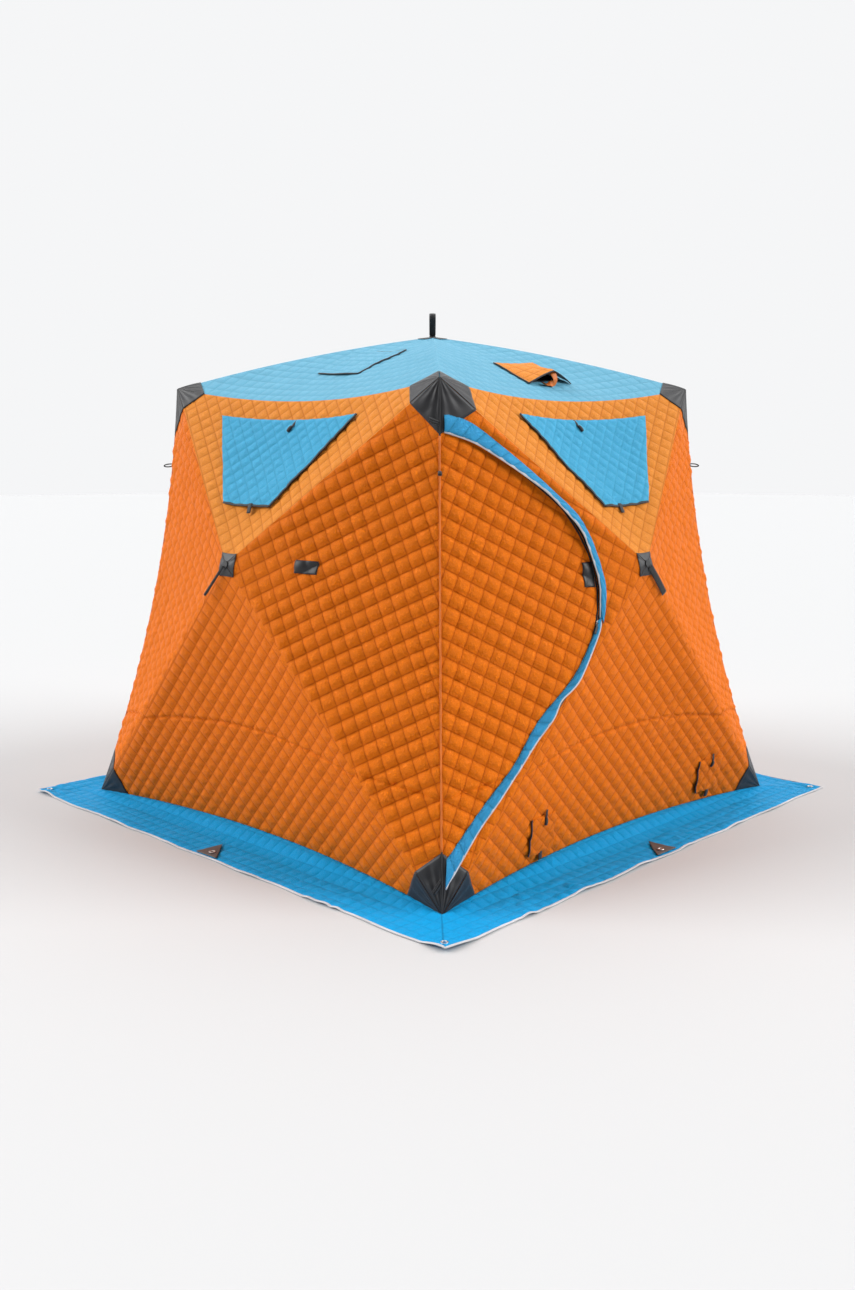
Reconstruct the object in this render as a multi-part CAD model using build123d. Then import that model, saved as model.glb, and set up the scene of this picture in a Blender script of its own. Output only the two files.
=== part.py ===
from build123d import *
import math
import os

# A hub-style pop-up ice fishing shelter. Four walls and a roof each have a pull-out hub with four
# fibreglass poles that run to the corners, under triangular panels of quilted cloth. +Z is up, the
# origin lies on the ground under the roof hub, and the door is in the wall that faces -Y.
# All sizes are in millimetres and degrees.

# Shelter
BASE_HALF = 1077.0  # centre line to the foot of a wall, at its corners
TOP_HALF = 786.0  # centre line to the top of a wall, at its corners
CORNER_HEIGHT = 1820.0
FOOT_HEIGHT = 8.0  # bottom corners above the ground
HUB_OUT = 1143.0  # centre line to the cloth over a wall hub
HUB_HEIGHT = 1136.0
ROOF_PEAK = 2042.0
SKIRT_HALF = 1289.0
WALL_TURNS = {"front": 0, "right": 90, "back": 180, "left": 270}

# How far a tight seam is pulled out of the straight line between its corners
CORNER_SEAM_IN = 51.0
TOP_SEAM_IN = 55.0
TOP_SEAM_DOWN = 65.0
HEM_IN = 73.0
HEM_UP = 45.0
SEAM_SPANS = 4

# Cloth
CLOTH = 3.0
PATCH = 1.5
PATCH_GAP = 0.4  # between a sewn-on patch and the cloth under it
SEAM_SETBACK = 7.0  # a panel's edge short of the seam that it shares with the next wall
RIDGE_SETBACK = 4.0  # a panel's apex short of the hub's axis
SKIRT_THICK = 3.0
SKIRT_LAP = 88.0  # the skirt's inner edge inside the hem's corners
GROMMET_RADIUS = 8.0
GROMMET_RIM = 6.0
GROMMET_INSET = 42.0  # grommet's centre in from the skirt's edge
ANCHOR_WIDTH = 130.0
ANCHOR_DEPTH = 140.0
ANCHOR_EDGE = 18.0

# Black patches over the hubs and the corners, measured along the seams and the ridges
HUB_PATCH_HALF = 47.0
CAP_ON_TOP_SEAM = 165.0
CAP_ON_SIDE_SEAM = 200.0
CAP_ON_TOP_RIDGE = 120.0
CAP_ON_ROOF_RIDGE = 100.0
CAP_ON_HEM = 190.0
CAP_ON_LOW_RIDGE = 175.0

# Hubs
HUB_DEPTH = 34.0  # pins below the cloth, at the hub and at the corners
HUB_RADIUS = 30.0
HUB_THICK = 16.0
STEM_RADIUS = 9.0
STEM_GAP = 0.9  # cloth's edge from the hub's stem
BUTTON_RADIUS = 14.0
BUTTON_THICK = 3.0
BUTTON_LIFT = 1.0  # button above the cloth's peak
PIN_CIRCLE = 62.0
SLOT_TRAVEL = 31.0  # how far a pole's pin slides in as the hub passes dead centre
SLOT_PLAY = 1.1
EAR_THICK = 4.0
EAR_HALF_HEIGHT = 7.0
EAR_PAST_PIN = 8.0

# Poles
PIN_RADIUS = 2.5
PIN_FIT = 0.05  # radial clearance
BLADE_THICK = 8.0
BLADE_HALF_HEIGHT = 6.0
BLADE_FIT = 0.25  # blade from each ear
HUB_BLADE_LONG = 42.0
TIP_BLADE_LONG = 16.0
ROD_RADIUS = 5.5
FERRULE_RADIUS = 7.0
FERRULE_LENGTH = 60.0
TIP_RADIUS = 6.5
TIP_LENGTH = 35.0

# Corner fittings
CORNER_PIN_IN = 90.0  # a pole's pin from its corner, along the wall
FITTING_INSET = 30.0
FITTING_RADIUS = 14.0
ARM_LONG = 56.0
ARM_SOLID = 40.0
FOOT_GAP = 0.3
FOOT_RADIUS = 12.0

# Door, in the left panel of the front wall; points are across and up from the hub
DOOR_HINGE_SETBACK = 75.0
ZIP_LINE = [
    (-900.0, 555.0),
    (-740.0, 500.0),
    (-610.0, 420.0),
    (-480.0, 320.0),
    (-365.0, 222.0),
    (-290.0, 110.0),
    (-248.0, 0.0),
    (-240.0, -100.0),
    (-256.0, -190.0),
    (-305.0, -290.0),
    (-395.0, -405.0),
    (-665.0, -680.0),
    (-1075.0, -1075.0),
]
ZIP_GAP = 0.6
STORM_FLAP_WIDE = 42.0
STORM_FLAP_THICK = 2.0
STORM_FLAP_SEWN = 2.0  # upper flap's sewn edge past the zip
UPPER_FLAP_POINTS = 8  # how many of the zip line's points the upper storm flap follows
HOOK_PATCH_WIDE = 50.0
HOOK_PATCH_LONG = 100.0
DOOR_HOOK_AT = (-345.0, -30.0)
WALL_HOOK_AT = (373.0, 5.0)

# Windows, in the top panels
WINDOW_TOP = 655.0  # up from the hub
WINDOW_BOTTOM = 255.0
WINDOW_TOP_HALF = 411.0
WINDOW_BOTTOM_HALF = 141.0
WINDOW_LAP = 35.0  # the flap past the clear film all round
FILM = 1.0
FLAP_THICK = 2.5
FLAP_GAP = 0.4
HOLE_GAP = 0.4

# Roof vents, in the roof's left and front panels
VENT_MIDDLE = {"left": -60.0, "front": 75.0}  # across from the roof hub
VENT_TOP = {"left": -262.0, "front": -415.0}  # up from the roof hub
VENT_TALL = 265.0
VENT_TOP_HALF = 150.0
VENT_BOTTOM_HALF = 120.0
VENT_OPEN = {"left": 0.0, "front": 14.0}

# Low vents, in the front wall's bottom panel
LOW_VENT_AT = {"left": -500.0, "right": 650.0}
LOW_VENT_TOP = -915.0
LOW_VENT_BOTTOM = -1060.0
LOW_VENT_HALF = 78.0
LOW_VENT_LAP = 22.0

# Webbing
STRAP_WIDE = 25.0
STRAP_THICK = 2.5
STRAP_LONG = 150.0
STRAP_START = 18.0
STRAP_LIFT = 4.0
STRAP_TURNS = {"front": 44.0, "right": 44.0, "back": -44.0, "left": -48.0}
LOOP_HEIGHT = 1492.0
LOOP_LONG = 56.0
LOOP_THICK = 2.4
LOOP_WIDE = 16.0
LOOP_EYE_IN = 14.0  # the loop's eye towards the corner seam from its middle
LOOP_EYE_LONG = 18.7
LOOP_EYE_WIDE = 8.0
ROOF_LOOP_TALL = 95.0
ROOF_LOOP_RADIUS = 24.0
ROOF_LOOP_THICK = 3.0
ROOF_LOOP_STEPS = 12

# Zip slider and its pull
SLIDER_AT = (-266.0, -212.0)
SLIDER_TURN = -26.0  # from straight down, along the zip
SLIDER_SIZE = (12.0, 22.0, 5.0)
SLIDER_LIFT = 3.2
PULL_LONG = 42.0
PULL_THICK = 2.0
PULL_POST = 1.2  # thickness of the slider's posts
BAR_RADIUS = 0.9

REACH = 400.0  # longer than any cut is deep
CORNER_MIRROR = Plane(origin=(0, 0, 0), z_dir=(1, -1, 0))  # swaps the front and left walls


class Facet:
    """One triangular panel: straight from a hub out to a seam that is pulled in to a bow."""

    def __init__(self, apex, left, right, pull, facing):
        self.apex, self.left, self.right, self.pull = apex, left, right, pull
        self.facing = facing  # the way that the whole wall or roof faces
        self.normal = (left - apex).cross(right - apex).normalized()
        self.across = Vector(0, 0, 1).cross(self.normal).normalized()
        self.up = self.normal.cross(self.across)
        self.plane = Plane(origin=apex, x_dir=self.across, z_dir=self.normal)

    def seam(self, share):
        """A point of the bowed seam, from the left corner at 0 to the right corner at 1."""
        return self.left + (self.right - self.left) * share + self.pull * (4 * share * (1 - share))

    def height(self):
        """From the hub to the straight line between the two corners."""
        along = (self.right - self.left).normalized()
        foot = self.left + along * (self.apex - self.left).dot(along)
        return (foot - self.apex).length

    def flat(self, point):
        """A point's place across and up from the hub, in the panel's own plane."""
        offset = point - self.apex
        return (offset.dot(self.across), offset.dot(self.up))

    def surface(self, x, y):
        """The plane that lies on the cloth itself at a place across and up from the hub."""
        for i in range(SEAM_SPANS):
            left = self.seam(i / SEAM_SPANS) - self.apex
            right = self.seam((i + 1) / SEAM_SPANS) - self.apex
            normal = left.cross(right).normalized()
            flat = self.across * x + self.up * y
            point = flat - self.normal * (flat.dot(normal) / self.normal.dot(normal))
            if left.cross(point).dot(normal) >= 0 and point.cross(right).dot(normal) >= 0:
                return Plane(origin=self.apex + point, x_dir=self.across, z_dir=normal)
        return self.plane


def closed_solid(rings):
    """A solid between two like rings of points, each ring a strip of quads from inner to outer."""
    (low_in, low_out), (high_in, high_out) = rings
    faces = []
    last = len(low_in) - 1
    for i in range(last):
        faces.append([low_in[i], low_in[i + 1], low_out[i + 1], low_out[i]])
        faces.append([high_in[i], high_out[i], high_out[i + 1], high_in[i + 1]])
        faces.append([low_in[i], high_in[i], high_in[i + 1], low_in[i + 1]])
        faces.append([low_out[i], low_out[i + 1], high_out[i + 1], high_out[i]])
    faces.append([low_in[0], low_out[0], high_out[0], high_in[0]])
    faces.append([low_in[last], high_in[last], high_out[last], low_out[last]])
    shell = Shell([Face(Wire.make_polygon(corners)) for corners in faces])
    return Solid(shell)


def cloth(facet, low, high):
    """The panel's cloth between two heights over its surface, clear of its neighbours."""
    height = facet.height()
    middle = (facet.left + facet.right) * 0.5
    towards = (middle - facet.apex).normalized()
    apex = facet.apex + towards * RIDGE_SETBACK
    upright = facet.normal.dot(facet.facing)
    tilt = math.sqrt(1 - upright * upright)
    inner_share = ((STEM_RADIUS + STEM_GAP + CLOTH * tilt) / upright - RIDGE_SETBACK) / height
    outer_share = 1 - SEAM_SETBACK / height
    side = RIDGE_SETBACK / (facet.right - facet.left).length
    rings = []
    for lift in (low, high):
        inner, outer = [], []
        for i in range(SEAM_SPANS + 1):
            reach = facet.seam(side + (1 - 2 * side) * i / SEAM_SPANS) - apex
            inner.append(apex + reach * inner_share + facet.normal * lift)
            outer.append(apex + reach * outer_share + facet.normal * lift)
        rings.append((inner, outer))
    return closed_solid(rings)


def prism(facet, outline):
    """A block that stands on an outline drawn in the panel's plane."""
    face = make_face(Polyline(*outline, close=True))
    return facet.plane * extrude(face, REACH, both=True)


def patch_on(facet, outline, low=PATCH_GAP, thick=PATCH):
    """A flat patch that follows the panel's surface within an outline."""
    return cloth(facet, low, low + thick) & prism(facet, outline)


def trapezoid(top, bottom, top_half, bottom_half, middle, grow=0.0):
    """Corners of an upright trapezoid, grown or shrunk all round."""
    return [
        (middle - top_half - grow, top + grow),
        (middle + top_half + grow, top + grow),
        (middle + bottom_half + grow, bottom - grow),
        (middle - bottom_half - grow, bottom - grow),
    ]


def rectangle(centre, wide, tall):
    """Corners of an upright rectangle."""
    half = wide / 2
    return trapezoid(centre[1] + tall / 2, centre[1] - tall / 2, half, half, centre[0])


def wall_corners():
    """The front wall's corners: top left, top right, bottom right and bottom left."""
    return [
        Vector(-TOP_HALF, -TOP_HALF, CORNER_HEIGHT),
        Vector(TOP_HALF, -TOP_HALF, CORNER_HEIGHT),
        Vector(BASE_HALF, -BASE_HALF, FOOT_HEIGHT),
        Vector(-BASE_HALF, -BASE_HALF, FOOT_HEIGHT),
    ]


def wall_facets():
    """The front wall's four panels, by name."""
    apex = Vector(0, -HUB_OUT, HUB_HEIGHT)
    top_left, top_right, low_right, low_left = wall_corners()
    top_pull = Vector(0, TOP_SEAM_IN, -TOP_SEAM_DOWN)
    facing = wall_bay().facing
    return {
        "top": Facet(apex, top_right, top_left, top_pull, facing),
        "bottom": Facet(apex, low_left, low_right, Vector(0, HEM_IN, HEM_UP), facing),
        "left": Facet(apex, top_left, low_left, Vector(CORNER_SEAM_IN, CORNER_SEAM_IN, 0), facing),
        "right": Facet(apex, low_right, top_right, Vector(-CORNER_SEAM_IN, CORNER_SEAM_IN, 0), facing),
    }


def roof_facet():
    """The roof's front panel; the other three are turned copies."""
    top_left, top_right = wall_corners()[:2]
    pull = Vector(0, TOP_SEAM_IN, -TOP_SEAM_DOWN)
    return Facet(Vector(0, 0, ROOF_PEAK), top_left, top_right, pull, roof_bay().facing)


def along(start, end, distance):
    """The point at a distance from start towards end."""
    return start + (end - start).normalized() * distance


def cap_outline(facet, corner, seam_end, on_seam, on_ridge):
    """A triangle whose base runs from the seam to the ridge and whose tip lies past the corner."""
    on_line, on_edge = along(corner, seam_end, on_seam), along(corner, facet.apex, on_ridge)
    base = on_edge - on_line
    tip = corner + (corner - (on_line + on_edge) * 0.5) * 4
    return [facet.flat(point) for point in (on_line - base * 2, tip, on_edge + base * 2)]


def cap_patch(facet, corner, seam_end, on_seam, on_ridge):
    """The black cap's share on one panel, from its corner along the seam and the ridge."""
    return patch_on(facet, cap_outline(facet, corner, seam_end, on_seam, on_ridge))


def hub_patch(facet):
    """The share of the square patch over the hub that lies on one panel."""
    half = HUB_PATCH_HALF
    return patch_on(facet, [(-half, half), (half, half), (half, -half), (-half, -half)])


def corner_caps(name, facet):
    """The caps' shares on a wall panel."""
    sizes = {
        "top": [(CAP_ON_TOP_SEAM, CAP_ON_TOP_RIDGE)] * 2,
        "bottom": [(CAP_ON_HEM, CAP_ON_LOW_RIDGE)] * 2,
        "left": [(CAP_ON_SIDE_SEAM, CAP_ON_TOP_RIDGE), (CAP_ON_SIDE_SEAM, CAP_ON_LOW_RIDGE)],
        "right": [(CAP_ON_SIDE_SEAM, CAP_ON_LOW_RIDGE), (CAP_ON_SIDE_SEAM, CAP_ON_TOP_RIDGE)],
    }[name]
    return [
        cap_patch(facet, facet.left, facet.right, *sizes[0]),
        cap_patch(facet, facet.right, facet.left, *sizes[1]),
    ]


def hole_and_film(facet, hole):
    """The block that cuts a hole, and the film or mesh that closes it at half the cloth's depth."""
    low = -(CLOTH + FILM) / 2
    inside = prism(facet, trapezoid(*hole, -HOLE_GAP))
    return prism(facet, trapezoid(*hole)), cloth(facet, low, low + FILM) & inside


def window_hole():
    lap = WINDOW_LAP
    return (WINDOW_TOP - lap, WINDOW_BOTTOM + lap, WINDOW_TOP_HALF - lap, WINDOW_BOTTOM_HALF - lap / 2, 0)


def roof_vent_hole(side):
    lap = WINDOW_LAP
    top = VENT_TOP[side]
    return (top - lap, top - VENT_TALL + lap, VENT_TOP_HALF - lap, VENT_BOTTOM_HALF - lap, VENT_MIDDLE[side])


def low_vent_hole(side):
    lap = LOW_VENT_LAP
    half = LOW_VENT_HALF - lap
    return (LOW_VENT_TOP - lap, LOW_VENT_BOTTOM + lap, half, half, LOW_VENT_AT[side])


def past_jamb(facet, gap):
    """A block over everything to the right of the door's hinge line, in the door's panel."""
    ends = [facet.flat(facet.left), facet.flat(facet.right)]
    (top_x, top_y), (low_x, low_y) = ends
    long = math.hypot(top_x - low_x, top_y - low_y)
    shift = DOOR_HINGE_SETBACK + gap
    across, down = shift * (top_y - low_y) / long, shift * (low_x - top_x) / long
    hinge = [(x + across, y + down) for x, y in ends]
    return prism(facet, hinge + [(REACH * 2, hinge[1][1]), (REACH * 2, hinge[0][1])])


def door_block(facet, gap):
    """The door's own outline as a block: inside the zip line, past the hinge line."""
    return past_jamb(facet, gap) & prism(facet, [(x - gap, y) for x, y in ZIP_LINE])


def flap_strip(first, last, shift_from, shift_to):
    """The outline of a storm flap that follows part of the zip line."""
    run = ZIP_LINE[first:last]
    sides = []
    for shift in (shift_from, shift_to):
        side = []
        for i, (x, y) in enumerate(run):
            before, after = run[max(i - 1, 0)], run[min(i + 1, len(run) - 1)]
            length = math.hypot(after[0] - before[0], after[1] - before[1])
            side.append((
                x - shift * (after[1] - before[1]) / length,
                y + shift * (after[0] - before[0]) / length,
            ))
        sides.append(side)
    return sides[0] + sides[1][::-1]


def front_left_panel(facet):
    """What is left of the door's panel: the jamb at the corner seam and the strip past the zip."""
    surround = cloth(facet, -CLOTH, 0) - door_block(facet, 0)
    outline = flap_strip(0, UPPER_FLAP_POINTS + 1, STORM_FLAP_SEWN, STORM_FLAP_WIDE)
    strip = patch_on(facet, outline, PATCH_GAP, STORM_FLAP_THICK)
    under_cap = cap_outline(facet, facet.left, facet.right, CAP_ON_SIDE_SEAM, CAP_ON_TOP_RIDGE + HOLE_GAP)
    return [surround, strip - prism(facet, under_cap)]


def door_panel(facet):
    """The door's cloth, its storm flap over the lower zip and its hold-open patch."""
    leaf = cloth(facet, -CLOTH, 0) & door_block(facet, ZIP_GAP)
    strip = flap_strip(UPPER_FLAP_POINTS, len(ZIP_LINE), -STORM_FLAP_WIDE / 2, STORM_FLAP_WIDE / 2)
    flap = patch_on(facet, strip, PATCH_GAP, STORM_FLAP_THICK) & past_jamb(facet, ZIP_GAP)
    hook = patch_on(facet, rectangle(DOOR_HOOK_AT, HOOK_PATCH_WIDE, HOOK_PATCH_LONG))
    return [leaf, flap, hook]


def panel_with_holes(facet, holes):
    """A panel's cloth with its holes, and what closes each of them."""
    sheet = cloth(facet, -CLOTH, 0)
    films = []
    for hole in holes:
        cut, film = hole_and_film(facet, hole)
        sheet = sheet - cut
        films.append(film)
    return [sheet] + films


def pull_strap(facet, turn):
    """A webbing strap that lies down the cloth from the hub, turned from straight down."""
    strap = Pos(0, -STRAP_START - STRAP_LONG / 2, STRAP_LIFT) * Box(STRAP_WIDE, STRAP_LONG, STRAP_THICK)
    return facet.plane * (Rot(0, 0, turn) * strap)


def guy_loop(facet):
    """A small webbing loop at the corner seam, for a guy line."""
    share = (CORNER_HEIGHT - LOOP_HEIGHT) / (CORNER_HEIGHT - FOOT_HEIGHT)
    inside = (facet.height() - SEAM_SETBACK) / facet.height()
    x, y = facet.flat(facet.apex + (facet.seam(share) - facet.apex) * inside)
    eye = Pos(-LOOP_EYE_IN, 0, 0) * Box(LOOP_EYE_LONG, LOOP_EYE_WIDE, LOOP_THICK)
    tab = Box(LOOP_LONG, LOOP_WIDE, LOOP_THICK) - eye
    return facet.surface(x, y) * (Pos(0, 0, PATCH_GAP + LOOP_THICK / 2) * tab)


def wall_panel(wall, name, facet):
    """Every solid of one wall panel."""
    holes = []
    if name == "top":
        holes = [window_hole()]
    if (wall, name) == ("front", "bottom"):
        holes = [low_vent_hole(side) for side in LOW_VENT_AT]
    solids = panel_with_holes(facet, holes)
    if (wall, name) == ("front", "left"):
        solids = front_left_panel(facet)
    if (wall, name) == ("left", "right"):
        solids.append(patch_on(facet, rectangle(WALL_HOOK_AT, HOOK_PATCH_LONG, HOOK_PATCH_WIDE)))
    if name == "bottom":
        solids.append(pull_strap(facet, STRAP_TURNS[wall]))
    if name == "left":
        solids.append(guy_loop(facet))
    return solids + [hub_patch(facet)] + corner_caps(name, facet)


def roof_panel(name):
    """Every solid of one roof panel, in the front panel's place."""
    facet = roof_facet()
    holes = [roof_vent_hole(name)] if name in VENT_OPEN else []
    caps = [
        cap_patch(facet, facet.left, facet.right, CAP_ON_TOP_SEAM, CAP_ON_ROOF_RIDGE),
        cap_patch(facet, facet.right, facet.left, CAP_ON_TOP_SEAM, CAP_ON_ROOF_RIDGE),
    ]
    return panel_with_holes(facet, holes) + [hub_patch(facet)] + caps


def flap_over(facet, hole, lap):
    """A flap that covers a hole by a lap all round, flat over the panel's surface."""
    outline = trapezoid(*hole, lap)
    return cloth(facet, FLAP_GAP, FLAP_GAP + FLAP_THICK) & prism(facet, outline)


def raised(facet, flap, hinge_up, angle):
    """A flap turned out of the surface about its upper edge."""
    hinge = Axis(facet.apex + facet.up * hinge_up + facet.normal * FLAP_GAP, facet.across)
    return flap.rotate(hinge, -angle)


class Bay:
    """A wall or the roof: its corners in order, the cloth's peak over the hub, and its outward way."""

    def __init__(self, corners, peak):
        self.corners, self.peak = corners, peak
        self.facing = (corners[3] - corners[0]).cross(corners[1] - corners[0]).normalized()
        self.pivot = peak - self.facing * HUB_DEPTH

    def spoke(self, corner):
        """The way from the hub to a corner, in the wall's own plane."""
        way = corner - self.peak
        return (way - self.facing * way.dot(self.facing)).normalized()

    def hub_pin(self, corner):
        return self.pivot + self.spoke(corner) * PIN_CIRCLE

    def corner_pin(self, corner):
        return corner - self.spoke(corner) * CORNER_PIN_IN - self.facing * HUB_DEPTH

    def swing(self, corner):
        """The pole's swing axis."""
        return self.spoke(corner).cross(self.facing)


def wall_bay():
    return Bay(wall_corners(), Vector(0, -HUB_OUT, HUB_HEIGHT))


def roof_bay():
    front_left, front_right = wall_corners()[:2]
    back_right = Vector(TOP_HALF, TOP_HALF, CORNER_HEIGHT)
    back_left = Vector(-TOP_HALF, TOP_HALF, CORNER_HEIGHT)
    return Bay([back_left, back_right, front_right, front_left], Vector(0, 0, ROOF_PEAK))


def rod(radius, start, end):
    """A cylinder along +X between two distances."""
    bar = Cylinder(radius, end - start, align=(Align.CENTER, Align.CENTER, Align.MIN))
    return Pos(start, 0, 0) * Rot(0, 90, 0) * bar


def bar(start, end, half_height, thick, across=0.0):
    """A flat bar along +X between two distances."""
    return Pos((start + end) / 2, 0, across) * Box(end - start, half_height * 2, thick)


def pin_hole():
    return Cylinder(PIN_RADIUS + PIN_FIT, REACH)


def ear_offset():
    """How far the middle of an ear stands to the side of its blade's middle."""
    return BLADE_THICK / 2 + BLADE_FIT + EAR_THICK / 2


def pin():
    return Cylinder(PIN_RADIUS, 2 * ear_offset() + EAR_THICK)


def pole(bay, corner):
    """A pole from its corner pin to its hub pin: tip, rod, ferrule and the hub pin itself."""
    start, finish = bay.corner_pin(corner), bay.hub_pin(corner)
    place = Plane(origin=start, x_dir=finish - start, z_dir=bay.swing(corner))
    long = (finish - start).length
    tip_end = TIP_BLADE_LONG + TIP_LENGTH
    ferrule_end = long - HUB_BLADE_LONG
    eye = Cylinder(BLADE_HALF_HEIGHT, BLADE_THICK)
    tip = eye + bar(0, TIP_BLADE_LONG, BLADE_HALF_HEIGHT, BLADE_THICK)
    tip = tip + rod(TIP_RADIUS, TIP_BLADE_LONG, tip_end) - pin_hole()
    ferrule = Pos(long, 0, 0) * eye + bar(ferrule_end, long, BLADE_HALF_HEIGHT, BLADE_THICK)
    ferrule = ferrule + rod(FERRULE_RADIUS, ferrule_end - FERRULE_LENGTH, ferrule_end)
    ferrule = ferrule - Pos(long, 0, 0) * pin_hole()
    shaft = rod(ROD_RADIUS, tip_end, ferrule_end - FERRULE_LENGTH)
    return [place * piece for piece in (tip, shaft, ferrule, Pos(long, 0, 0) * pin())]


def pin_slot():
    """The slot that a pole's hub pin slides in, from its outer end inwards."""
    radius = PIN_RADIUS + SLOT_PLAY
    ends = Cylinder(radius, REACH) + Pos(-SLOT_TRAVEL, 0, 0) * Cylinder(radius, REACH)
    return ends + bar(-SLOT_TRAVEL, 0, radius, REACH)


def hub(bay):
    """A moulded hub with four pairs of slotted ears, and the stem and button that hold the cloth."""
    place = Plane(origin=bay.pivot, x_dir=Vector(1, 0, 0), z_dir=bay.facing)
    body = place * Cylinder(HUB_RADIUS, HUB_THICK)
    top = HUB_DEPTH + BUTTON_LIFT
    stem = place * (Pos(0, 0, top / 2) * Cylinder(STEM_RADIUS, top))
    button = place * (Pos(0, 0, top + BUTTON_THICK / 2) * Cylinder(BUTTON_RADIUS, BUTTON_THICK))
    ear_end = PIN_CIRCLE + EAR_PAST_PIN
    room_start = PIN_CIRCLE - SLOT_TRAVEL - BLADE_HALF_HEIGHT - SLOT_PLAY
    room = bar(room_start, ear_end * 2, REACH, BLADE_THICK + 2 * BLADE_FIT)
    for corner in bay.corners:
        side = Plane(origin=bay.pivot, x_dir=bay.spoke(corner), z_dir=bay.swing(corner))
        for way in (-1, 1):
            ear = bar(HUB_RADIUS / 2, ear_end, EAR_HALF_HEIGHT, EAR_THICK, way * ear_offset())
            body = body + side * ear
        body = body - side * room - side * (Pos(PIN_CIRCLE, 0, 0) * pin_slot())
    return [body + stem + button]


def arm(bay, corner):
    """A fitting's arm with two ears for a pole's tip, and the pin through them."""
    pivot = bay.corner_pin(corner)
    place = Plane(origin=pivot, x_dir=bay.spoke(corner) * -1, z_dir=bay.swing(corner))
    wide = 2 * ear_offset() + EAR_THICK
    block = bar(-ARM_LONG, 0, BLADE_HALF_HEIGHT, wide) + Cylinder(BLADE_HALF_HEIGHT, wide)
    room = bar(ARM_SOLID - ARM_LONG, REACH, REACH, BLADE_THICK + 2 * BLADE_FIT)
    return place * (block - room - pin_hole()), place * pin()


def fitting(bays, corner, up):
    """A corner fitting near (-X, -Y): a ball with an arm for each pole, and the poles' pins."""
    block, pivot = arm(bays[0], corner)
    solid = block + mirror(block, CORNER_MIRROR)
    pins = [pivot, mirror(pivot, CORNER_MIRROR)]
    for bay in bays[1:]:
        block, pivot = arm(bay, corner)
        solid = solid + block
        pins.append(pivot)
    return [solid + Pos(*fitting_centre(corner, up)) * Sphere(FITTING_RADIUS)] + pins


def fitting_centre(corner, up):
    """The middle of a corner fitting, inside its corner."""
    return corner + Vector(FITTING_INSET, FITTING_INSET, up * FITTING_INSET)


def top_fitting():
    """The three-way fitting at the top corner between the front and left walls."""
    return fitting([wall_bay(), roof_bay()], wall_corners()[0], -1)


def bottom_fitting():
    """The two-way fitting at the foot of that corner, on its round foot."""
    corner = wall_corners()[3]
    centre = fitting_centre(corner, 1)
    low = SKIRT_THICK + FOOT_GAP
    foot = Pos(centre.X, centre.Y, (low + centre.Z) / 2) * Cylinder(FOOT_RADIUS, centre.Z - low)
    body, *pins = fitting([wall_bay()], corner, 1)
    return [body + foot] + pins


def around(solids):
    """Four turned copies of each solid, one for each corner or side."""
    return [solid.rotate(Axis.Z, turn) for solid in solids for turn in WALL_TURNS.values()]


def grommet_places():
    """Where the grommets stand: the middle of the front side and the corner to its left."""
    line = SKIRT_HALF - GROMMET_INSET
    return [(0, -line), (-line, -line)]


def skirt():
    """Four mitred strips of skirt on the ground, with a hole for each grommet."""
    inner = BASE_HALF - SKIRT_LAP
    outline = [(-inner, -inner), (inner, -inner), (SKIRT_HALF, -SKIRT_HALF), (-SKIRT_HALF, -SKIRT_HALF)]
    ring = extrude(make_face(Polyline(*outline, close=True)), SKIRT_THICK)
    strips = ring
    for turn in (90, 180, 270):
        strips = strips + ring.rotate(Axis.Z, turn)
    for x, y in grommet_places():
        hole = Pos(x, y, 0) * Cylinder(GROMMET_RADIUS + GROMMET_RIM / 2, SKIRT_THICK * 4)
        for turn in WALL_TURNS.values():
            strips = strips - hole.rotate(Axis.Z, turn)
    return strips


def grommet(x, y, under):
    """A grommet's barrel and flange, the flange over whatever it clamps."""
    seat = under + PATCH_GAP
    barrel_radius = GROMMET_RADIUS + GROMMET_RIM / 2 - PATCH_GAP
    barrel = Pos(0, 0, (FOOT_GAP + seat) / 2) * Cylinder(barrel_radius, seat - FOOT_GAP)
    flange = Pos(0, 0, seat + PATCH / 2) * Cylinder(GROMMET_RADIUS + GROMMET_RIM, PATCH)
    return Pos(x, y, 0) * (barrel + flange - Cylinder(GROMMET_RADIUS, REACH))


def anchors():
    """The triangular anchor patches in the middle of each side, and every grommet."""
    (mid_x, mid_y), (corner_x, corner_y) = grommet_places()
    inner = -SKIRT_HALF + ANCHOR_DEPTH
    outer = -SKIRT_HALF + ANCHOR_EDGE
    outline = [(-ANCHOR_WIDTH / 2, outer), (ANCHOR_WIDTH / 2, outer), (0, inner)]
    low = SKIRT_THICK + PATCH_GAP
    patch = Pos(0, 0, low) * extrude(make_face(Polyline(*outline, close=True)), PATCH)
    patch = patch - Pos(mid_x, mid_y, 0) * Cylinder(GROMMET_RADIUS + GROMMET_RIM / 2, REACH)
    middle = grommet(mid_x, mid_y, low + PATCH)
    return around([patch, middle, grommet(corner_x, corner_y, SKIRT_THICK)])


def drop_shape(radius, tip):
    """A face shaped like a drop: round above, with its tip below."""
    centre = ROOF_LOOP_TALL - ROOF_LOOP_RADIUS
    outline = [(0, tip)]
    for i in range(ROOF_LOOP_STEPS + 1):
        angle = math.radians(-20 + 220 * i / ROOF_LOOP_STEPS)
        outline.append((radius * math.cos(angle), centre + radius * math.sin(angle)))
    return make_face(Polyline(*outline, close=True))


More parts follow.
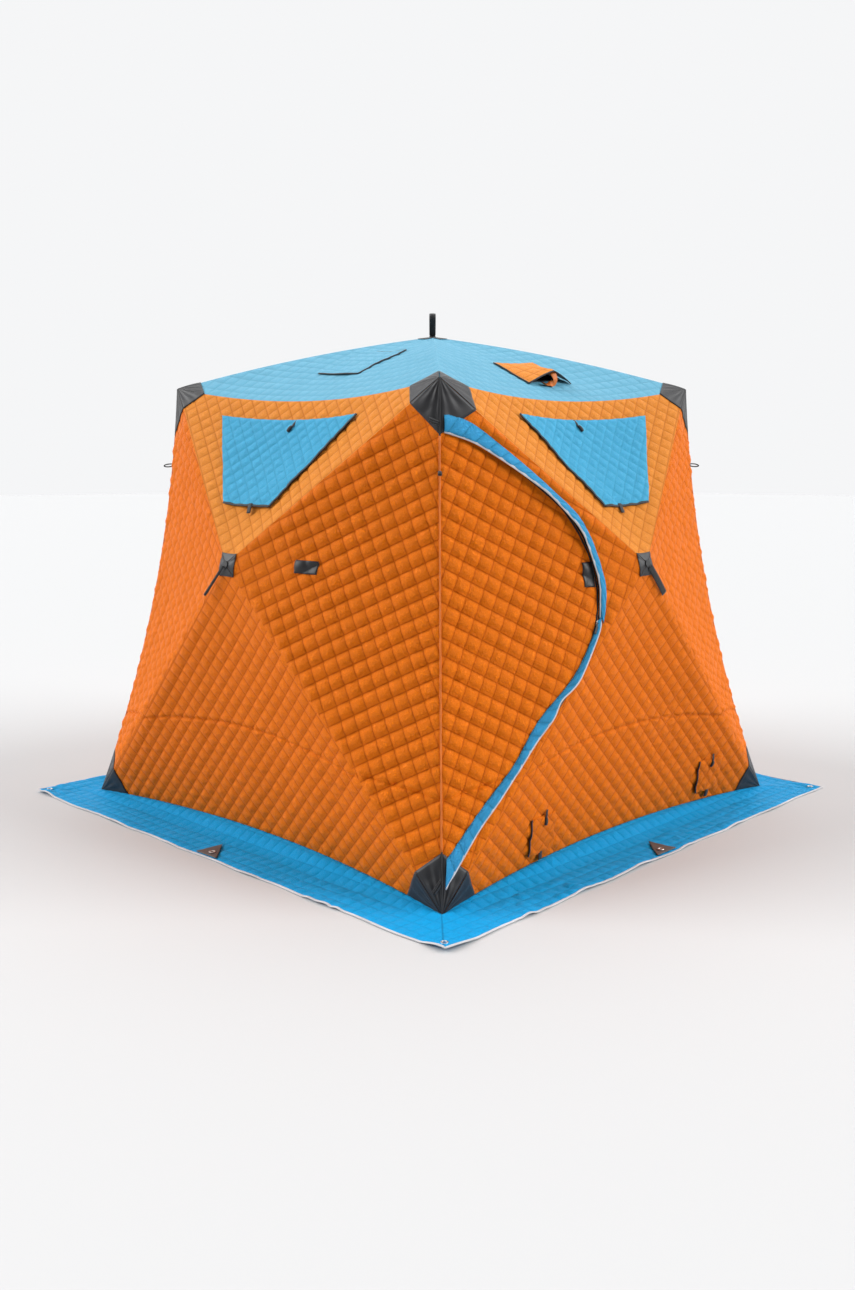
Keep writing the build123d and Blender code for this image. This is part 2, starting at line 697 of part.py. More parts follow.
def roof_loop():
    """The webbing loop that stands on the roof hub."""
    hole = drop_shape(ROOF_LOOP_RADIUS - ROOF_LOOP_THICK, ROOF_LOOP_THICK * 4)
    band = extrude(drop_shape(ROOF_LOOP_RADIUS, 0) - hole, STRAP_WIDE / 2, both=True)
    base = ROOF_PEAK + BUTTON_LIFT + BUTTON_THICK + PATCH_GAP
    return Plane(origin=(0, 0, base), x_dir=(1, 1, 0), z_dir=(1, -1, 0)) * band


def slider_place(facet):
    """Where the zip slider lies: +Y up along the zip, +Z out of the cloth."""
    return facet.surface(*SLIDER_AT) * Location((0, 0, SLIDER_LIFT), (0, 0, SLIDER_TURN))


def zip_slider(facet):
    """The slider's body with the bar that its pull hangs on."""
    wide, tall, deep = SLIDER_SIZE
    body = Pos(0, 0, deep / 2) * Box(wide, tall, deep)
    body = chamfer(body.edges().filter_by(Axis.Z), wide / 4)
    bar_up = deep + PULL_THICK
    post_top = bar_up + PULL_POST
    for way in (-1, 1):
        post = Pos(way * (wide / 2 - PULL_POST), 0, (deep / 2 + post_top) / 2)
        body = body + post * Box(PULL_POST, tall / 3, post_top - deep / 2)
    cross_bar = Pos(0, 0, bar_up) * Rot(0, 90, 0) * Cylinder(BAR_RADIUS, wide - 2 * PULL_POST)
    return slider_place(facet) * (body + cross_bar)


def zip_pull(facet):
    """The pull tab on the slider's bar."""
    wide, tall, deep = SLIDER_SIZE
    room = wide - 3 * PULL_POST - 2 * BLADE_FIT
    eye = Rot(0, 90, 0) * Cylinder(BAR_RADIUS + PIN_FIT + PULL_THICK / 2, room)
    tab = Pos(0, -PULL_LONG / 2, 0) * Box(room, PULL_LONG, PULL_THICK)
    hole = Rot(0, 90, 0) * Cylinder(BAR_RADIUS + PIN_FIT, wide)
    return slider_place(facet) * (Pos(0, 0, deep + PULL_THICK) * (eye + tab - hole))


def save(name, solids, turn=0):
    """Write one sub-part to its own file, turned about +Z into place."""
    pieces = []
    for solid in solids:
        pieces += solid.rotate(Axis.Z, turn).solids()
    export_step(Compound(children=pieces), f"parts/{name}.step")


def main():
    os.makedirs("parts", exist_ok=True)
    facets = wall_facets()
    wall = wall_bay()
    roof = roof_bay()
    corner_names = ["top_left", "top_right", "low_right", "low_left"]
    for name, turn in WALL_TURNS.items():
        for side, facet in facets.items():
            save(f"{name}_{side}_panel", wall_panel(name, side, facet), turn)
        for corner_name, corner in zip(corner_names, wall.corners):
            save(f"{name}_{corner_name}_pole", pole(wall, corner), turn)
        save(f"{name}_hub", hub(wall), turn)
        flap = flap_over(facets["top"], window_hole(), WINDOW_LAP)
        save(f"{name}_window_flap", [flap], turn)
        save(f"roof_{name}_panel", roof_panel(name), turn)
    for corner_name, corner in zip(["back_left", "back_right", "front_right", "front_left"], roof.corners):
        save(f"roof_{corner_name}_pole", pole(roof, corner))
    save("roof_hub", hub(roof) + [roof_loop()])
    save("door", door_panel(facets["left"]))
    save("zip_slider", [zip_slider(facets["left"])])
    save("zip_pull", [zip_pull(facets["left"])])
    for name, angle in VENT_OPEN.items():
        facet = roof_facet()
        flap = flap_over(facet, roof_vent_hole(name), WINDOW_LAP)
        save(f"{name}_roof_vent", [raised(facet, flap, VENT_TOP[name], angle)], WALL_TURNS[name])
    for side in LOW_VENT_AT:
        flap = flap_over(facets["bottom"], low_vent_hole(side), LOW_VENT_LAP)
        save(f"{side}_low_vent", [flap])
    save("skirt", [skirt()])
    save("skirt_anchors", anchors())
    save("top_corner_fittings", around(top_fitting()))
    save("bottom_corner_fittings", around(bottom_fitting()))


main()
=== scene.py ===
import math

import bmesh
import bpy
import numpy as np
from bpy.props import FloatProperty, FloatVectorProperty, PointerProperty
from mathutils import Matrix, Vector


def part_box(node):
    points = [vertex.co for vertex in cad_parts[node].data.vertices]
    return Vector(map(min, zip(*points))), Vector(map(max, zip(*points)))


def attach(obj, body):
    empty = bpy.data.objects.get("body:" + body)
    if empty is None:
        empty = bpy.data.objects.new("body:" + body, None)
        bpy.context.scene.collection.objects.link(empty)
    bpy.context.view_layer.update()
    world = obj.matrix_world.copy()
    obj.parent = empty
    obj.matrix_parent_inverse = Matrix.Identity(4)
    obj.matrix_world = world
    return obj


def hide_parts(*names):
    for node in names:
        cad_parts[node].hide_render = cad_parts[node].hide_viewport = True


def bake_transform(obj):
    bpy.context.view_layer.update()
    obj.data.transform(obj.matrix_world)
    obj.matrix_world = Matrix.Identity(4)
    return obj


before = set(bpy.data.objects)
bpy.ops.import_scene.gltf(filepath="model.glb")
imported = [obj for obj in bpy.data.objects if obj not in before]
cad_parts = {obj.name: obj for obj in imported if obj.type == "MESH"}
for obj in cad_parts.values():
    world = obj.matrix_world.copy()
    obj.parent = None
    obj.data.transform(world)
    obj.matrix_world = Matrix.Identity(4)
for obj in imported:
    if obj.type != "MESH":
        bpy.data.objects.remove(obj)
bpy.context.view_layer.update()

bl_info = {
    "name": "Ice fishing shelter",
    "version": (1, 0, 0),
    "blender": (4, 5, 0),
    "location": "3D View > Sidebar > Shelter",
    "description": "Quilted cloth, trim and finishes over the packed frame of a pop-up ice fishing shelter",
    "category": "Object",
}

UP = np.array((0.0, 0.0, 1.0))
WALL_TURNS = {"front": 0, "right": 90, "back": 180, "left": 270}
WALL_KINDS = ("top", "bottom", "left", "right")

# Quilting of each kind of panel: angle of the first stitch lines, their spacing, how far a cell puffs out,
# and how deep the second family of stitches is against the first
QUILTS = {
    "top": (45.0, 0.052, 0.0060, 1.0),
    "bottom": (47.0, 0.054, 0.0090, 1.0),
    "left": (-28.0, 0.058, 0.0135, 0.55),
    "right": (26.0, 0.057, 0.0135, 0.55),
    "roof": (0.0, 0.055, 0.0035, 0.8),
}
CELL_STEPS = 5
CUT_REACH = 1e-5  # a point this near to a cut counts as on it

# Caps over the corners: along the seam and along the ridge, at the left and right ends of each panel's seam
CAPS = {
    "top": ((0.165, 0.140), (0.165, 0.140)),
    "bottom": ((0.190, 0.175), (0.190, 0.175)),
    "left": ((0.200, 0.140), (0.200, 0.175)),
    "right": ((0.200, 0.175), (0.200, 0.140)),
    "roof": ((0.165, 0.100), (0.165, 0.100)),
}
WIDE_CAPS = {("front_top_panel", 1): (0.172, 0.178), ("front_left_panel", 0): (0.200, 0.178)}

# Where a panel starts and stops bending out of its seam, as shares of its height
BENDS = {
    "top": (0.102, 0.17),
    "bottom": (0.080, 0.15),
    "left": (0.058, 0.075),
    "right": (0.060, 0.13),
    "roof": (0.100, 0.17),
}

# The low horizontal seam: its height up a panel in the middle, and how fast it falls to the sides
LOW_SEAM = -0.675
LOW_SEAM_FALL = 0.1

# Windows and vents, in metres from the hub of their panel
WINDOW_LAP = 0.035
WINDOW_MIDDLES = {"left": -0.030, "front": 0.038}
# wall: middle, top up from the hub, tall, half of the top, half of the bottom
ROOF_VENTS = {"left": (-0.060, -0.262, 0.265, 0.150, 0.120), "front": (0.075, -0.415, 0.215, 0.124, 0.135)}
LOW_VENT_LAP = 0.022
LOW_VENTS = {"left": -0.500, "right": 0.650}
LOW_VENT_TOP = -0.915
LOW_VENT_BOTTOM = -1.060
LOW_VENT_HALF = 0.078
LOW_VENT_TALL = LOW_VENT_TOP - LOW_VENT_BOTTOM

# Patches and webbing
HUB_PATCH_HALF = 0.047
DOOR_HOOK = [(-0.317, -0.076), (-0.262, -0.078), (-0.262, 0.019), (-0.317, 0.017)]
WALL_HOOK = [(0.322, -0.020), (0.425, -0.023), (0.425, 0.027), (0.322, 0.030)]
STRAP_ENDS = {
    "front": ((0.020, -0.010), (0.128, -0.125)),
    "right": ((0.020, -0.010), (0.128, -0.125)),
    "back": ((-0.020, -0.010), (-0.128, -0.125)),
    "left": ((-0.030, -0.006), (-0.160, -0.118)),
}
GUY_LOOP_HEIGHT = 1.492
SKIRT_CELL = 0.052
# A grommet's section: out from its axis, up from the cloth
GROMMET_PROFILE = [
    (0.0078, 0.0), (0.0115, 0.0), (0.0135, 0.0016), (0.0125, 0.0030), (0.0100, 0.0034), (0.0078, 0.0024),
]

# The door's zip and its storm flaps, across and up from the hub, in metres
ZIP_LINE = [
    (-0.900, 0.555), (-0.740, 0.500), (-0.610, 0.420), (-0.480, 0.320), (-0.365, 0.222), (-0.290, 0.110),
    (-0.248, 0.0), (-0.240, -0.100), (-0.256, -0.190), (-0.305, -0.290), (-0.395, -0.405), (-0.665, -0.680),
    (-1.075, -1.075),
]
UPPER_FLAP_SEWN = [
    (-0.852, 0.573), (-0.747, 0.542), (-0.594, 0.437), (-0.431, 0.307), (-0.310, 0.195), (-0.249, 0.082),
    (-0.213, -0.059), (-0.221, -0.150), (-0.240, -0.215),
]
UPPER_FLAP_FREE = [
    (-0.858, 0.508), (-0.739, 0.466), (-0.632, 0.403), (-0.523, 0.334), (-0.414, 0.248), (-0.327, 0.155),
    (-0.282, 0.063), (-0.249, -0.068), (-0.252, -0.195),
]
LOWER_FLAP_SEWN = [
    (-0.272, -0.205), (-0.300, -0.262), (-0.406, -0.400), (-0.582, -0.545), (-0.709, -0.690), (-0.855, -0.818),
    (-1.020, -0.974),
]
LOWER_FLAP_FREE = [
    (-0.247, -0.190), (-0.277, -0.262), (-0.382, -0.413), (-0.473, -0.481), (-0.519, -0.542), (-0.617, -0.632),
    (-0.755, -0.774), (-0.888, -0.901), (-1.036, -1.070),
]


def shelter():
    """The shelter's sizes."""
    return bpy.context.scene.shelter_sizes


def finish():
    """The shelter's colours."""
    return bpy.context.scene.shelter_colours


# ---------------------------------------------------------------- lines and fields


def unit(v):
    """Vectors brought to a length of one."""
    v = np.asarray(v, float)
    return v / np.maximum(np.linalg.norm(v, axis=-1, keepdims=True), 1e-12)


def turned(points, turn):
    """Points turned about +Z by an angle in degrees."""
    a = math.radians(turn)
    spin = np.array(((math.cos(a), -math.sin(a), 0), (math.sin(a), math.cos(a), 0), (0, 0, 1)))
    return np.asarray(points, float) @ spin.T


def ease(x, low=0.0, high=1.0):
    """A soft step from 0 at low to 1 at high."""
    t = np.clip((x - low) / (high - low), 0, 1)
    return t * t * (3 - 2 * t)


def ripple(points, seed, wavelength, amount, waves=7):
    """An uneven swell: a few crossed waves of about that length."""
    rng = np.random.default_rng(seed)
    total = np.zeros(len(points))
    for _ in range(waves):
        way = unit(rng.normal(size=points.shape[1]))
        length = wavelength * rng.uniform(0.65, 1.5)
        total += np.sin(points @ way * 2 * math.pi / length + rng.uniform(0, 2 * math.pi))
    return total * amount / math.sqrt(waves)


def chance(cells, seed):
    """A steady random number from 0 to 1 for each pair of whole numbers."""
    mixed = np.sin(cells[:, 0] * 127.1 + cells[:, 1] * 311.7 + seed * 74.7) * 43758.5453
    return mixed - np.floor(mixed)


def spaced(line, count):
    """The same line as evenly spaced points."""
    line = np.asarray(line, float)
    run = np.concatenate(([0], np.cumsum(np.linalg.norm(np.diff(line, axis=0), axis=1))))
    at = np.linspace(0, run[-1], count)
    return np.stack([np.interp(at, run, line[:, k]) for k in range(line.shape[1])], 1)


def smooth_line(points, count):
    """A smooth run through the points, evenly spaced."""
    p = np.asarray(points, float)
    ends = np.vstack((2 * p[0] - p[1], p, 2 * p[-1] - p[-2]))
    t = np.linspace(0, 1, 16, endpoint=False)[:, None]
    out = []
    for a, b, c, d in zip(ends, ends[1:], ends[2:], ends[3:]):
        square, cube = 2 * a - 5 * b + 4 * c - d, 3 * b - a - 3 * c + d
        out.append(0.5 * (2 * b + (c - a) * t + square * t**2 + cube * t**3))
    return spaced(np.vstack((*out, p[-1:])), count)


def distance_to(line, points):
    """How far flat points are from a run of straight pieces."""
    line, best = np.asarray(line, float), np.full(len(points), 1e9)
    for a, b in zip(line[:-1], line[1:]):
        t = np.clip((points - a) @ (b - a) / np.dot(b - a, b - a), 0, 1)[:, None]
        best = np.minimum(best, np.hypot(*(points - a - t * (b - a)).T))
    return best


def inside(points, outline):
    """Which flat points lie inside an outline."""
    outline = np.asarray(outline, float)
    x, y = points[:, 0], points[:, 1]
    found = np.zeros(len(points), bool)
    for (ax, ay), (bx, by) in zip(outline, np.roll(outline, -1, axis=0)):
        crosses = (ay > y) != (by > y)
        slope = (bx - ax) / (by - ay) if by != ay else 0.0
        found ^= crosses & (x < ax + (y - ay) * slope)
    return found


# ---------------------------------------------------------------- panels


class Quilt:
    """Two families of stitch lines at right angles; whole numbers lie on the stitches."""

    def __init__(self, turn, pitch, puff, cross=1.0):
        a = math.radians(turn)
        self.axes = np.array(((-math.sin(a), math.cos(a)), (math.cos(a), math.sin(a)))) / pitch
        self.back = np.linalg.inv(self.axes)
        self.pitch, self.puff, self.cross = pitch, puff, cross

    def cells(self, flat):
        """Flat points counted in stitches along both families."""
        return flat @ self.axes.T

    def flat(self, cells):
        """The flat points of a count of stitches."""
        return cells @ self.back.T

    def rise(self, flat, seed):
        """How far the filling pushes the cloth out at a flat point."""
        cells = self.cells(flat)
        part = cells - np.floor(cells)
        domes = np.abs(1 - (2 * part - 1) ** 2) ** 0.6
        pillow = domes[:, 0] * (1 - self.cross + self.cross * domes[:, 1])
        lean = 0.85 + 0.3 * chance(np.floor(cells), seed)
        sag = 1 + 0.22 * (0.5 - part[:, 0]) * np.sign(self.axes[0, 1])
        return self.puff * pillow * lean * sag


class Facet:
    """One triangular panel, from its hub out to a seam that is pulled in to a bow."""

    def __init__(self, apex, left, right, pull, dome=0.0):
        self.apex, self.left, self.right, self.pull = (np.array(p, float) for p in (apex, left, right, pull))
        self.dome = dome
        self.normal = unit(np.cross(self.left - self.apex, self.right - self.apex))
        self.across = unit(np.cross(UP, self.normal))
        self.up = np.cross(self.normal, self.across)
        self.corners = np.array([(0.0, 0.0), self.flat(self.left), self.flat(self.right)])
        edge = unit(self.right - self.left)
        self.foot = self.left + edge * np.dot(self.apex - self.left, edge)
        self.height = float(np.linalg.norm(self.foot - self.apex))

    def flat(self, point):
        """Across and up from the hub, in the panel's plane."""
        offset = np.asarray(point, float) - self.apex
        return np.stack((offset @ self.across, offset @ self.up), -1)

    def shares(self, flat):
        """Along the seam from its left corner, and out from the hub, both from 0 to 1."""
        _, a, b = self.corners
        out, side = np.linalg.solve(np.stack((a, b - a), 1), flat.T)
        return side / np.maximum(out, 1e-9), out

    def place(self, flat, lift=0.0):
        """Points on the bowed cloth, raised off it by lift."""
        flat = np.asarray(flat, float)
        s, r = self.shares(flat)
        s = np.clip(s, -0.02, 1.02)[:, None]
        r = r[:, None]
        ray = self.left + (self.right - self.left) * s - self.apex + self.pull * 4 * s * (1 - s)
        along = self.right - self.left + self.pull * 4 * (1 - 2 * s)
        normals = unit(np.cross(np.broadcast_to(along, ray.shape), ray))
        normals *= np.sign(normals @ self.normal)[:, None]
        domed = UP * self.dome * 4 * r * (1 - r)
        return self.apex + r * ray + domed + normals * np.reshape(lift, (-1, 1)), normals

    def on_cloth(self, flat):
        """Where points given straight across and up the panel lie on its bowed cloth."""
        flat = np.asarray(flat, float)
        found = flat.copy()
        for _ in range(5):
            found += flat - self.flat(self.place(found)[0])
        return found

    def bend_points(self, kind):
        """Where the panel starts and stops bending, on its middle line."""
        start, end = BENDS[kind]
        return [tuple(self.foot + (self.apex - self.foot) * share) for share in (start, end)]

    def edge_distance(self, flat):
        """How far a flat point is from the nearest of the panel's edges."""
        c = self.corners
        best = np.full(len(flat), 1e9)
        for a, b in ((c[0], c[1]), (c[0], c[2])):
            way = unit(b - a)
            best = np.minimum(best, np.abs((flat - a) @ np.array((-way[1], way[0]))))
        _, r = self.shares(flat)
        return np.minimum(best, (1 - r) * self.height)


class Panel:
    """A named panel of the shelter with its facet, its quilting and its own unevenness."""

    def __init__(self, node, kind, facet, seed):
        self.node, self.kind, self.facet, self.seed = node, kind, facet, seed
        self.quilt = Quilt(*QUILTS[kind])

    def seam_line(self, across):
        """Height up the panel of its low horizontal seam."""
        return LOW_SEAM - LOW_SEAM_FALL * across**2

    def has_low_seam(self):
        """Whether the low seam crosses this kind of panel."""
        return self.kind in ("bottom", "left", "right")

    def rise(self, flat):
        """How far the quilted cloth stands off the panel's surface."""
        fade = ease(self.facet.edge_distance(flat), 0.0, 0.016)
        taut = 0.45 + 0.55 * ease(np.hypot(*flat.T), 0.05, 0.40)
        lift = self.quilt.rise(flat, self.seed) * fade * taut * self.under_trim(flat)
        loose = ease(self.facet.edge_distance(flat), 0.0, 0.15)
        swell = ripple(flat, self.seed, 0.42, 0.0018) * loose
        lift += swell + ripple(flat, self.seed + 50, 0.16, 0.0006) * loose
        if self.has_low_seam():
            off = flat[:, 1] - self.seam_line(flat[:, 0])
            lift -= 0.0070 * np.exp(-((off / 0.006) ** 2)) * fade
            lift += 0.0030 * np.exp(-(((off - 0.015) / 0.009) ** 2)) * fade
        return lift

    def under_trim(self, flat):
        """The filling's share that is left where a cap or a storm flap is sewn over it."""
        share = np.ones(len(flat))
        for corner, reach in zip(self.facet.corners[1:], CAPS[self.kind]):
            away = np.hypot(*(flat - corner).T)
            share = np.minimum(share, 0.2 + 0.8 * ease(away, max(reach) * 0.85, max(reach) * 1.2))
        if self.node == "front_left_panel":
            share = np.minimum(share, 0.25 + 0.75 * ease(distance_to(ZIP_LINE, flat), 0.015, 0.055))
        return share

    def ride(self, piece):
        """Bakes the piece's placement into its points; the panel's bend points are worked out but not used."""
        start, end = self.facet.bend_points(self.kind)
        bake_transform(piece)
        return piece


def wall_corners():
    """The front wall's corners, clockwise from the top left one."""
    size = shelter()
    top, base = size.top_half, size.base_half
    return [
        (-top, -top, size.corner_height), (top, -top, size.corner_height),
        (base, -base, size.foot_height), (-base, -base, size.foot_height),
    ]


def facet_of(kind, turn):
    """The facet of that kind in the front wall or the roof's front, turned to its own side."""
    size = shelter()
    top_left, top_right, low_right, low_left = wall_corners()
    hub = (0, -size.hub_out, size.hub_height)
    side = size.side_bow
    apex, left, right, pull = {
        "top": (hub, top_right, top_left, (0, size.top_bow, -size.top_dip)),
        "bottom": (hub, low_left, low_right, (0, size.hem_bow, size.hem_rise)),
        "left": (hub, top_left, low_left, (side, side, 0)),
        "right": (hub, low_right, top_right, (-side, side, 0)),
        "roof": ((0, 0, size.roof_peak), top_left, top_right, (0, size.top_bow, -size.top_dip)),
    }[kind]
    dome = size.roof_dome if kind == "roof" else 0.0
    return Facet(*(turned(p, turn) for p in (apex, left, right, pull)), dome)


def wall_panel(wall, kind):
    """One of the four panels of a wall."""
    seed = list(WALL_TURNS).index(wall) * 7 + list(QUILTS).index(kind) + 3
    return Panel(f"{wall}_{kind}_panel", kind, facet_of(kind, WALL_TURNS[wall]), seed)


def roof_panel(wall):
    """The roof's panel over a wall."""
    return Panel(f"roof_{wall}_panel", "roof", facet_of("roof", WALL_TURNS[wall]), 60 + WALL_TURNS[wall])


# ---------------------------------------------------------------- meshes


def new_piece(name, points, faces, material, cloth=None, quilt=None):
    """An object from points and faces, with its flat places and quilt cells kept as UV maps."""
    mesh = bpy.data.meshes.new(name)
    mesh.from_pydata(np.asarray(points, float).tolist(), [], faces)
    mesh.validate()
    corner_points = np.zeros(len(mesh.loops), np.int32)
    mesh.loops.foreach_get("vertex_index", corner_points)
    for layer, values in (("Cloth", cloth), ("Quilt", quilt)):
        if values is not None:
            made = mesh.uv_layers.new(name=layer)
            made.data.foreach_set("uv", np.asarray(values, np.float32)[corner_points].ravel())
    mesh.shade_smooth()
    piece = bpy.data.objects.new(name, mesh)
    bpy.context.scene.collection.objects.link(piece)
    mesh.materials.append(bpy.data.materials[material])
    return piece


def closed(faces, count):
    """Faces of a closed shell: the given ones, a flipped copy count points on, and a rim between them."""
    edges = {(a, b) for face in faces for a, b in zip(face, face[1:] + face[:1])}
    rim = [(b, a, a + count, b + count) for a, b in edges if (b, a) not in edges]
    return faces + [[i + count for i in reversed(face)] for face in faces] + sorted(rim)


def shell(name, flat, faces, over, under, material, quilt):
    """A closed sheet of cloth from matching upper and lower points."""
    points, cloth, cells = (np.vstack(pair) for pair in ((over, under), (flat, flat), (quilt.cells(flat),) * 2))
    piece = new_piece(name, points, closed(faces, len(flat)), material, cloth, cells)
    crisp_rim(piece, len(flat))
    return piece


def crisp_rim(piece, count):
    """Marks the edges where a shell's two sides meet its rim, so that shading stops there."""
    mesh = piece.data
    owners = {}
    for face in mesh.polygons:
        rim = any(v < count for v in face.vertices) and any(v >= count for v in face.vertices)
        for key in face.edge_keys:
            owners.setdefault(key, set()).add(rim)
    sharp = mesh.attributes.new("sharp_edge", "BOOLEAN", "EDGE")
    sharp.data.foreach_set("value", [len(owners[tuple(sorted(e.vertices))]) > 1 for e in mesh.edges])


def lattice(quilt, outline):
    """A flat grid of quilt cells, cut to a convex outline that runs anticlockwise."""
    cells = quilt.cells(np.asarray(outline, float))
    low, high = np.floor(cells.min(0)), np.ceil(cells.max(0))
    count = ((high - low) * CELL_STEPS).astype(int)
    i, j = np.meshgrid(np.arange(count[0] + 1), np.arange(count[1] + 1), indexing="ij")
    steps = np.stack((low[0] + i / CELL_STEPS, low[1] + j / CELL_STEPS), -1)
    points = quilt.flat(steps.reshape(-1, 2))
    first = (i[:-1, :-1] * (count[1] + 1) + j[:-1, :-1]).ravel()
    faces = np.stack((first, first + count[1] + 1, first + count[1] + 2, first + 1), 1)
    if np.linalg.det(quilt.back) < 0:
        faces = faces[:, ::-1]
    middle = points[faces].mean(1)
    keep = np.ones(len(faces), bool)
    edges = list(zip(outline, np.roll(outline, -1, axis=0)))
    for a, b in edges:
        way = unit(np.subtract(b, a))
        keep &= (middle - a) @ np.array((way[1], -way[0])) < quilt.pitch
    faces = faces[keep]
    used, faces = np.unique(faces, return_inverse=True)
    mesh = bpy.data.meshes.new("lattice")
    flat = np.column_stack((points[used], np.zeros(len(used))))
    mesh.from_pydata(flat.tolist(), [], faces.reshape(-1, 4).tolist())
    grid = bmesh.new()
    grid.from_mesh(mesh)
    bpy.data.meshes.remove(mesh)
    for a, b in edges:
        across, up = unit(np.subtract(b, a))
        everything = grid.verts[:] + grid.edges[:] + grid.faces[:]
        plane = {"plane_co": (*a, 0), "plane_no": (up, -across, 0)}
        bmesh.ops.bisect_plane(grid, geom=everything, dist=CUT_REACH, clear_outer=True, **plane)
    return grid


def cut_along(grid, line):
    """Cuts edges into a flat lattice along a run of points."""
    for a, b in zip(line[:-1], line[1:]):
        way = np.subtract(b, a)
        reach = np.linalg.norm(way) / 2 + 0.014
        middle = Vector(((a[0] + b[0]) / 2, (a[1] + b[1]) / 2, 0))
        near = [face for face in grid.faces if (face.calc_center_median() - middle).length < reach]
        geometry = list({e for f in near for e in f.edges}) + list({v for f in near for v in f.verts}) + near
        plane = {"plane_co": (*a, 0), "plane_no": (-way[1], way[0], 0)}
        bmesh.ops.bisect_plane(grid, geom=geometry, dist=CUT_REACH, **plane)


def flat_mesh(grid):
    """The lattice's flat points and faces, and each face's middle."""
    bmesh.ops.remove_doubles(grid, verts=grid.verts[:], dist=2e-4)
    grid.verts.ensure_lookup_table()
    grid.verts.index_update()
    flat = np.array([v.co[:2] for v in grid.verts])
    faces = [[v.index for v in face.verts] for face in grid.faces]
    middle = np.array([face.calc_center_median()[:2] for face in grid.faces])
    grid.free()
    return flat, faces, middle


def part_of(flat, faces, keep):
    """The points and faces of the kept faces alone."""
    kept = [face for face, k in zip(faces, keep) if k]
    used = sorted({i for face in kept for i in face})
    place = {old: new for new, old in enumerate(used)}
    return flat[used], [[place[i] for i in face] for face in kept]


def panel_grid(panel, cuts=()):
    """A panel's lattice, cut along its low seam and the given lines, as points, faces and middles."""
    grid = lattice(panel.quilt, panel.facet.corners)
    if panel.has_low_seam():
        low, high = sorted(panel.facet.corners[1:, 0])
        across = np.linspace(min(0, low), max(0, high), 25)
        for off in (-0.007, 0.0, 0.007):
            cut_along(grid, np.column_stack((across, panel.seam_line(across) + off)))
    for cut in cuts:
        cut_along(grid, cut)
    return flat_mesh(grid)


def quilted_panel(panel, flat, faces, name, material):
    """The closed, puffed cloth of a panel or of a part of one."""
    lift = panel.rise(flat)
    over, _ = panel.facet.place(flat, lift)
    under, _ = panel.facet.place(flat, -shelter().cloth_thick - 0.4 * lift)
    return shell(name, flat, faces, over, under, material, panel.quilt)


def slab(name, over, under, material, cloth=None, quilt=None):
    """A closed sheet between two like grids of points."""
    rows, columns = over.shape[:2]
    i, j = np.meshgrid(np.arange(rows - 1), np.arange(columns - 1), indexing="ij")
    first = (i * columns + j).ravel()
    faces = np.stack((first, first + columns, first + columns + 1, first + 1), 1).tolist()
    points = np.vstack((over.reshape(-1, 3), under.reshape(-1, 3)))
    if cloth is None:
        down, along = (np.cumsum(np.linalg.norm(np.diff(over, axis=k), axis=2), axis=k) for k in (0, 1))
        down = np.vstack((np.zeros(columns), down))
        cloth = np.stack((np.column_stack((np.zeros(rows), along)), down), -1)
    maps = [None if m is None else np.tile(m.reshape(-1, 2), (2, 1)) for m in (cloth, quilt)]
    return new_piece(name, points, closed(faces, rows * columns), material, *maps)


def tube(name, path, wide, deep, normals, material, sides=10, loop=False):
    """A closed rounded band along a path: wide across, deep along the normals."""
    path = np.asarray(path, float)
    normals = unit(np.broadcast_to(normals, path.shape))
    ahead = np.roll(path, -1, axis=0) - np.roll(path, 1, axis=0)
    if not loop:
        ahead[0], ahead[-1] = path[1] - path[0], path[-1] - path[-2]
    across = unit(np.cross(unit(ahead), normals))
    angles = np.arange(sides) * 2 * math.pi / sides
    ring = np.stack((np.cos(angles), np.sin(angles)), 1)
    ring = np.sign(ring) * np.abs(ring) ** 0.75
    wide, deep = (np.broadcast_to(np.reshape(x, (-1, 1, 1)), (len(path), 1, 1)) for x in (wide, deep))
    points = path[:, None] + across[:, None] * ring[:, :1] * wide / 2
    points = points + normals[:, None] * ring[:, 1:] * deep / 2
    faces = []
    last = len(path) if loop else len(path) - 1
    for i in range(last):
        a, b = i * sides, (i + 1) % len(path) * sides
        faces += [(a + k, a + (k + 1) % sides, b + (k + 1) % sides, b + k) for k in range(sides)]
    if not loop:
        end = (len(path) - 1) * sides
        faces += [tuple(reversed(range(sides))), tuple(range(end, end + sides))]
    run = np.concatenate(([0], np.cumsum(np.linalg.norm(np.diff(path, axis=0), axis=1))))
    cloth = np.stack((np.repeat(run, sides), np.tile(angles / 400, len(path))), 1)
    piece = new_piece(name, points.reshape(-1, 3), faces, material, cloth)
    bm = bmesh.new()
    bm.from_mesh(piece.data)
    bmesh.ops.recalc_face_normals(bm, faces=bm.faces[:])
    bm.to_mesh(piece.data)
    bm.free()
    return piece


def lathe(name, profile, centre, material, sides=32):
    """A closed ring turned about an upright line through centre, from (radius, height) points."""
    profile, centre = np.asarray(profile, float), np.asarray(centre, float)
    angles = np.arange(sides) * 2 * math.pi / sides
    points = [centre + (r * math.cos(a), r * math.sin(a), z) for a in angles for r, z in profile]
    count = len(profile)
    faces = []
    for i in range(sides):
        a, b = i * count, (i + 1) % sides * count
        faces += [(a + k, b + k, b + (k + 1) % count, a + (k + 1) % count) for k in range(count)]
    cloth = [(a * 0.01, z) for a in angles for _, z in profile]
    return new_piece(name, points, faces, material, cloth)


def joined(name, pieces):
    """Several pieces of one material made into one."""
    first = pieces[0]
    if len(pieces) > 1:
        with bpy.context.temp_override(active_object=first, selected_editable_objects=pieces):
            bpy.ops.object.join()
    first.name = first.data.name = name
    return first


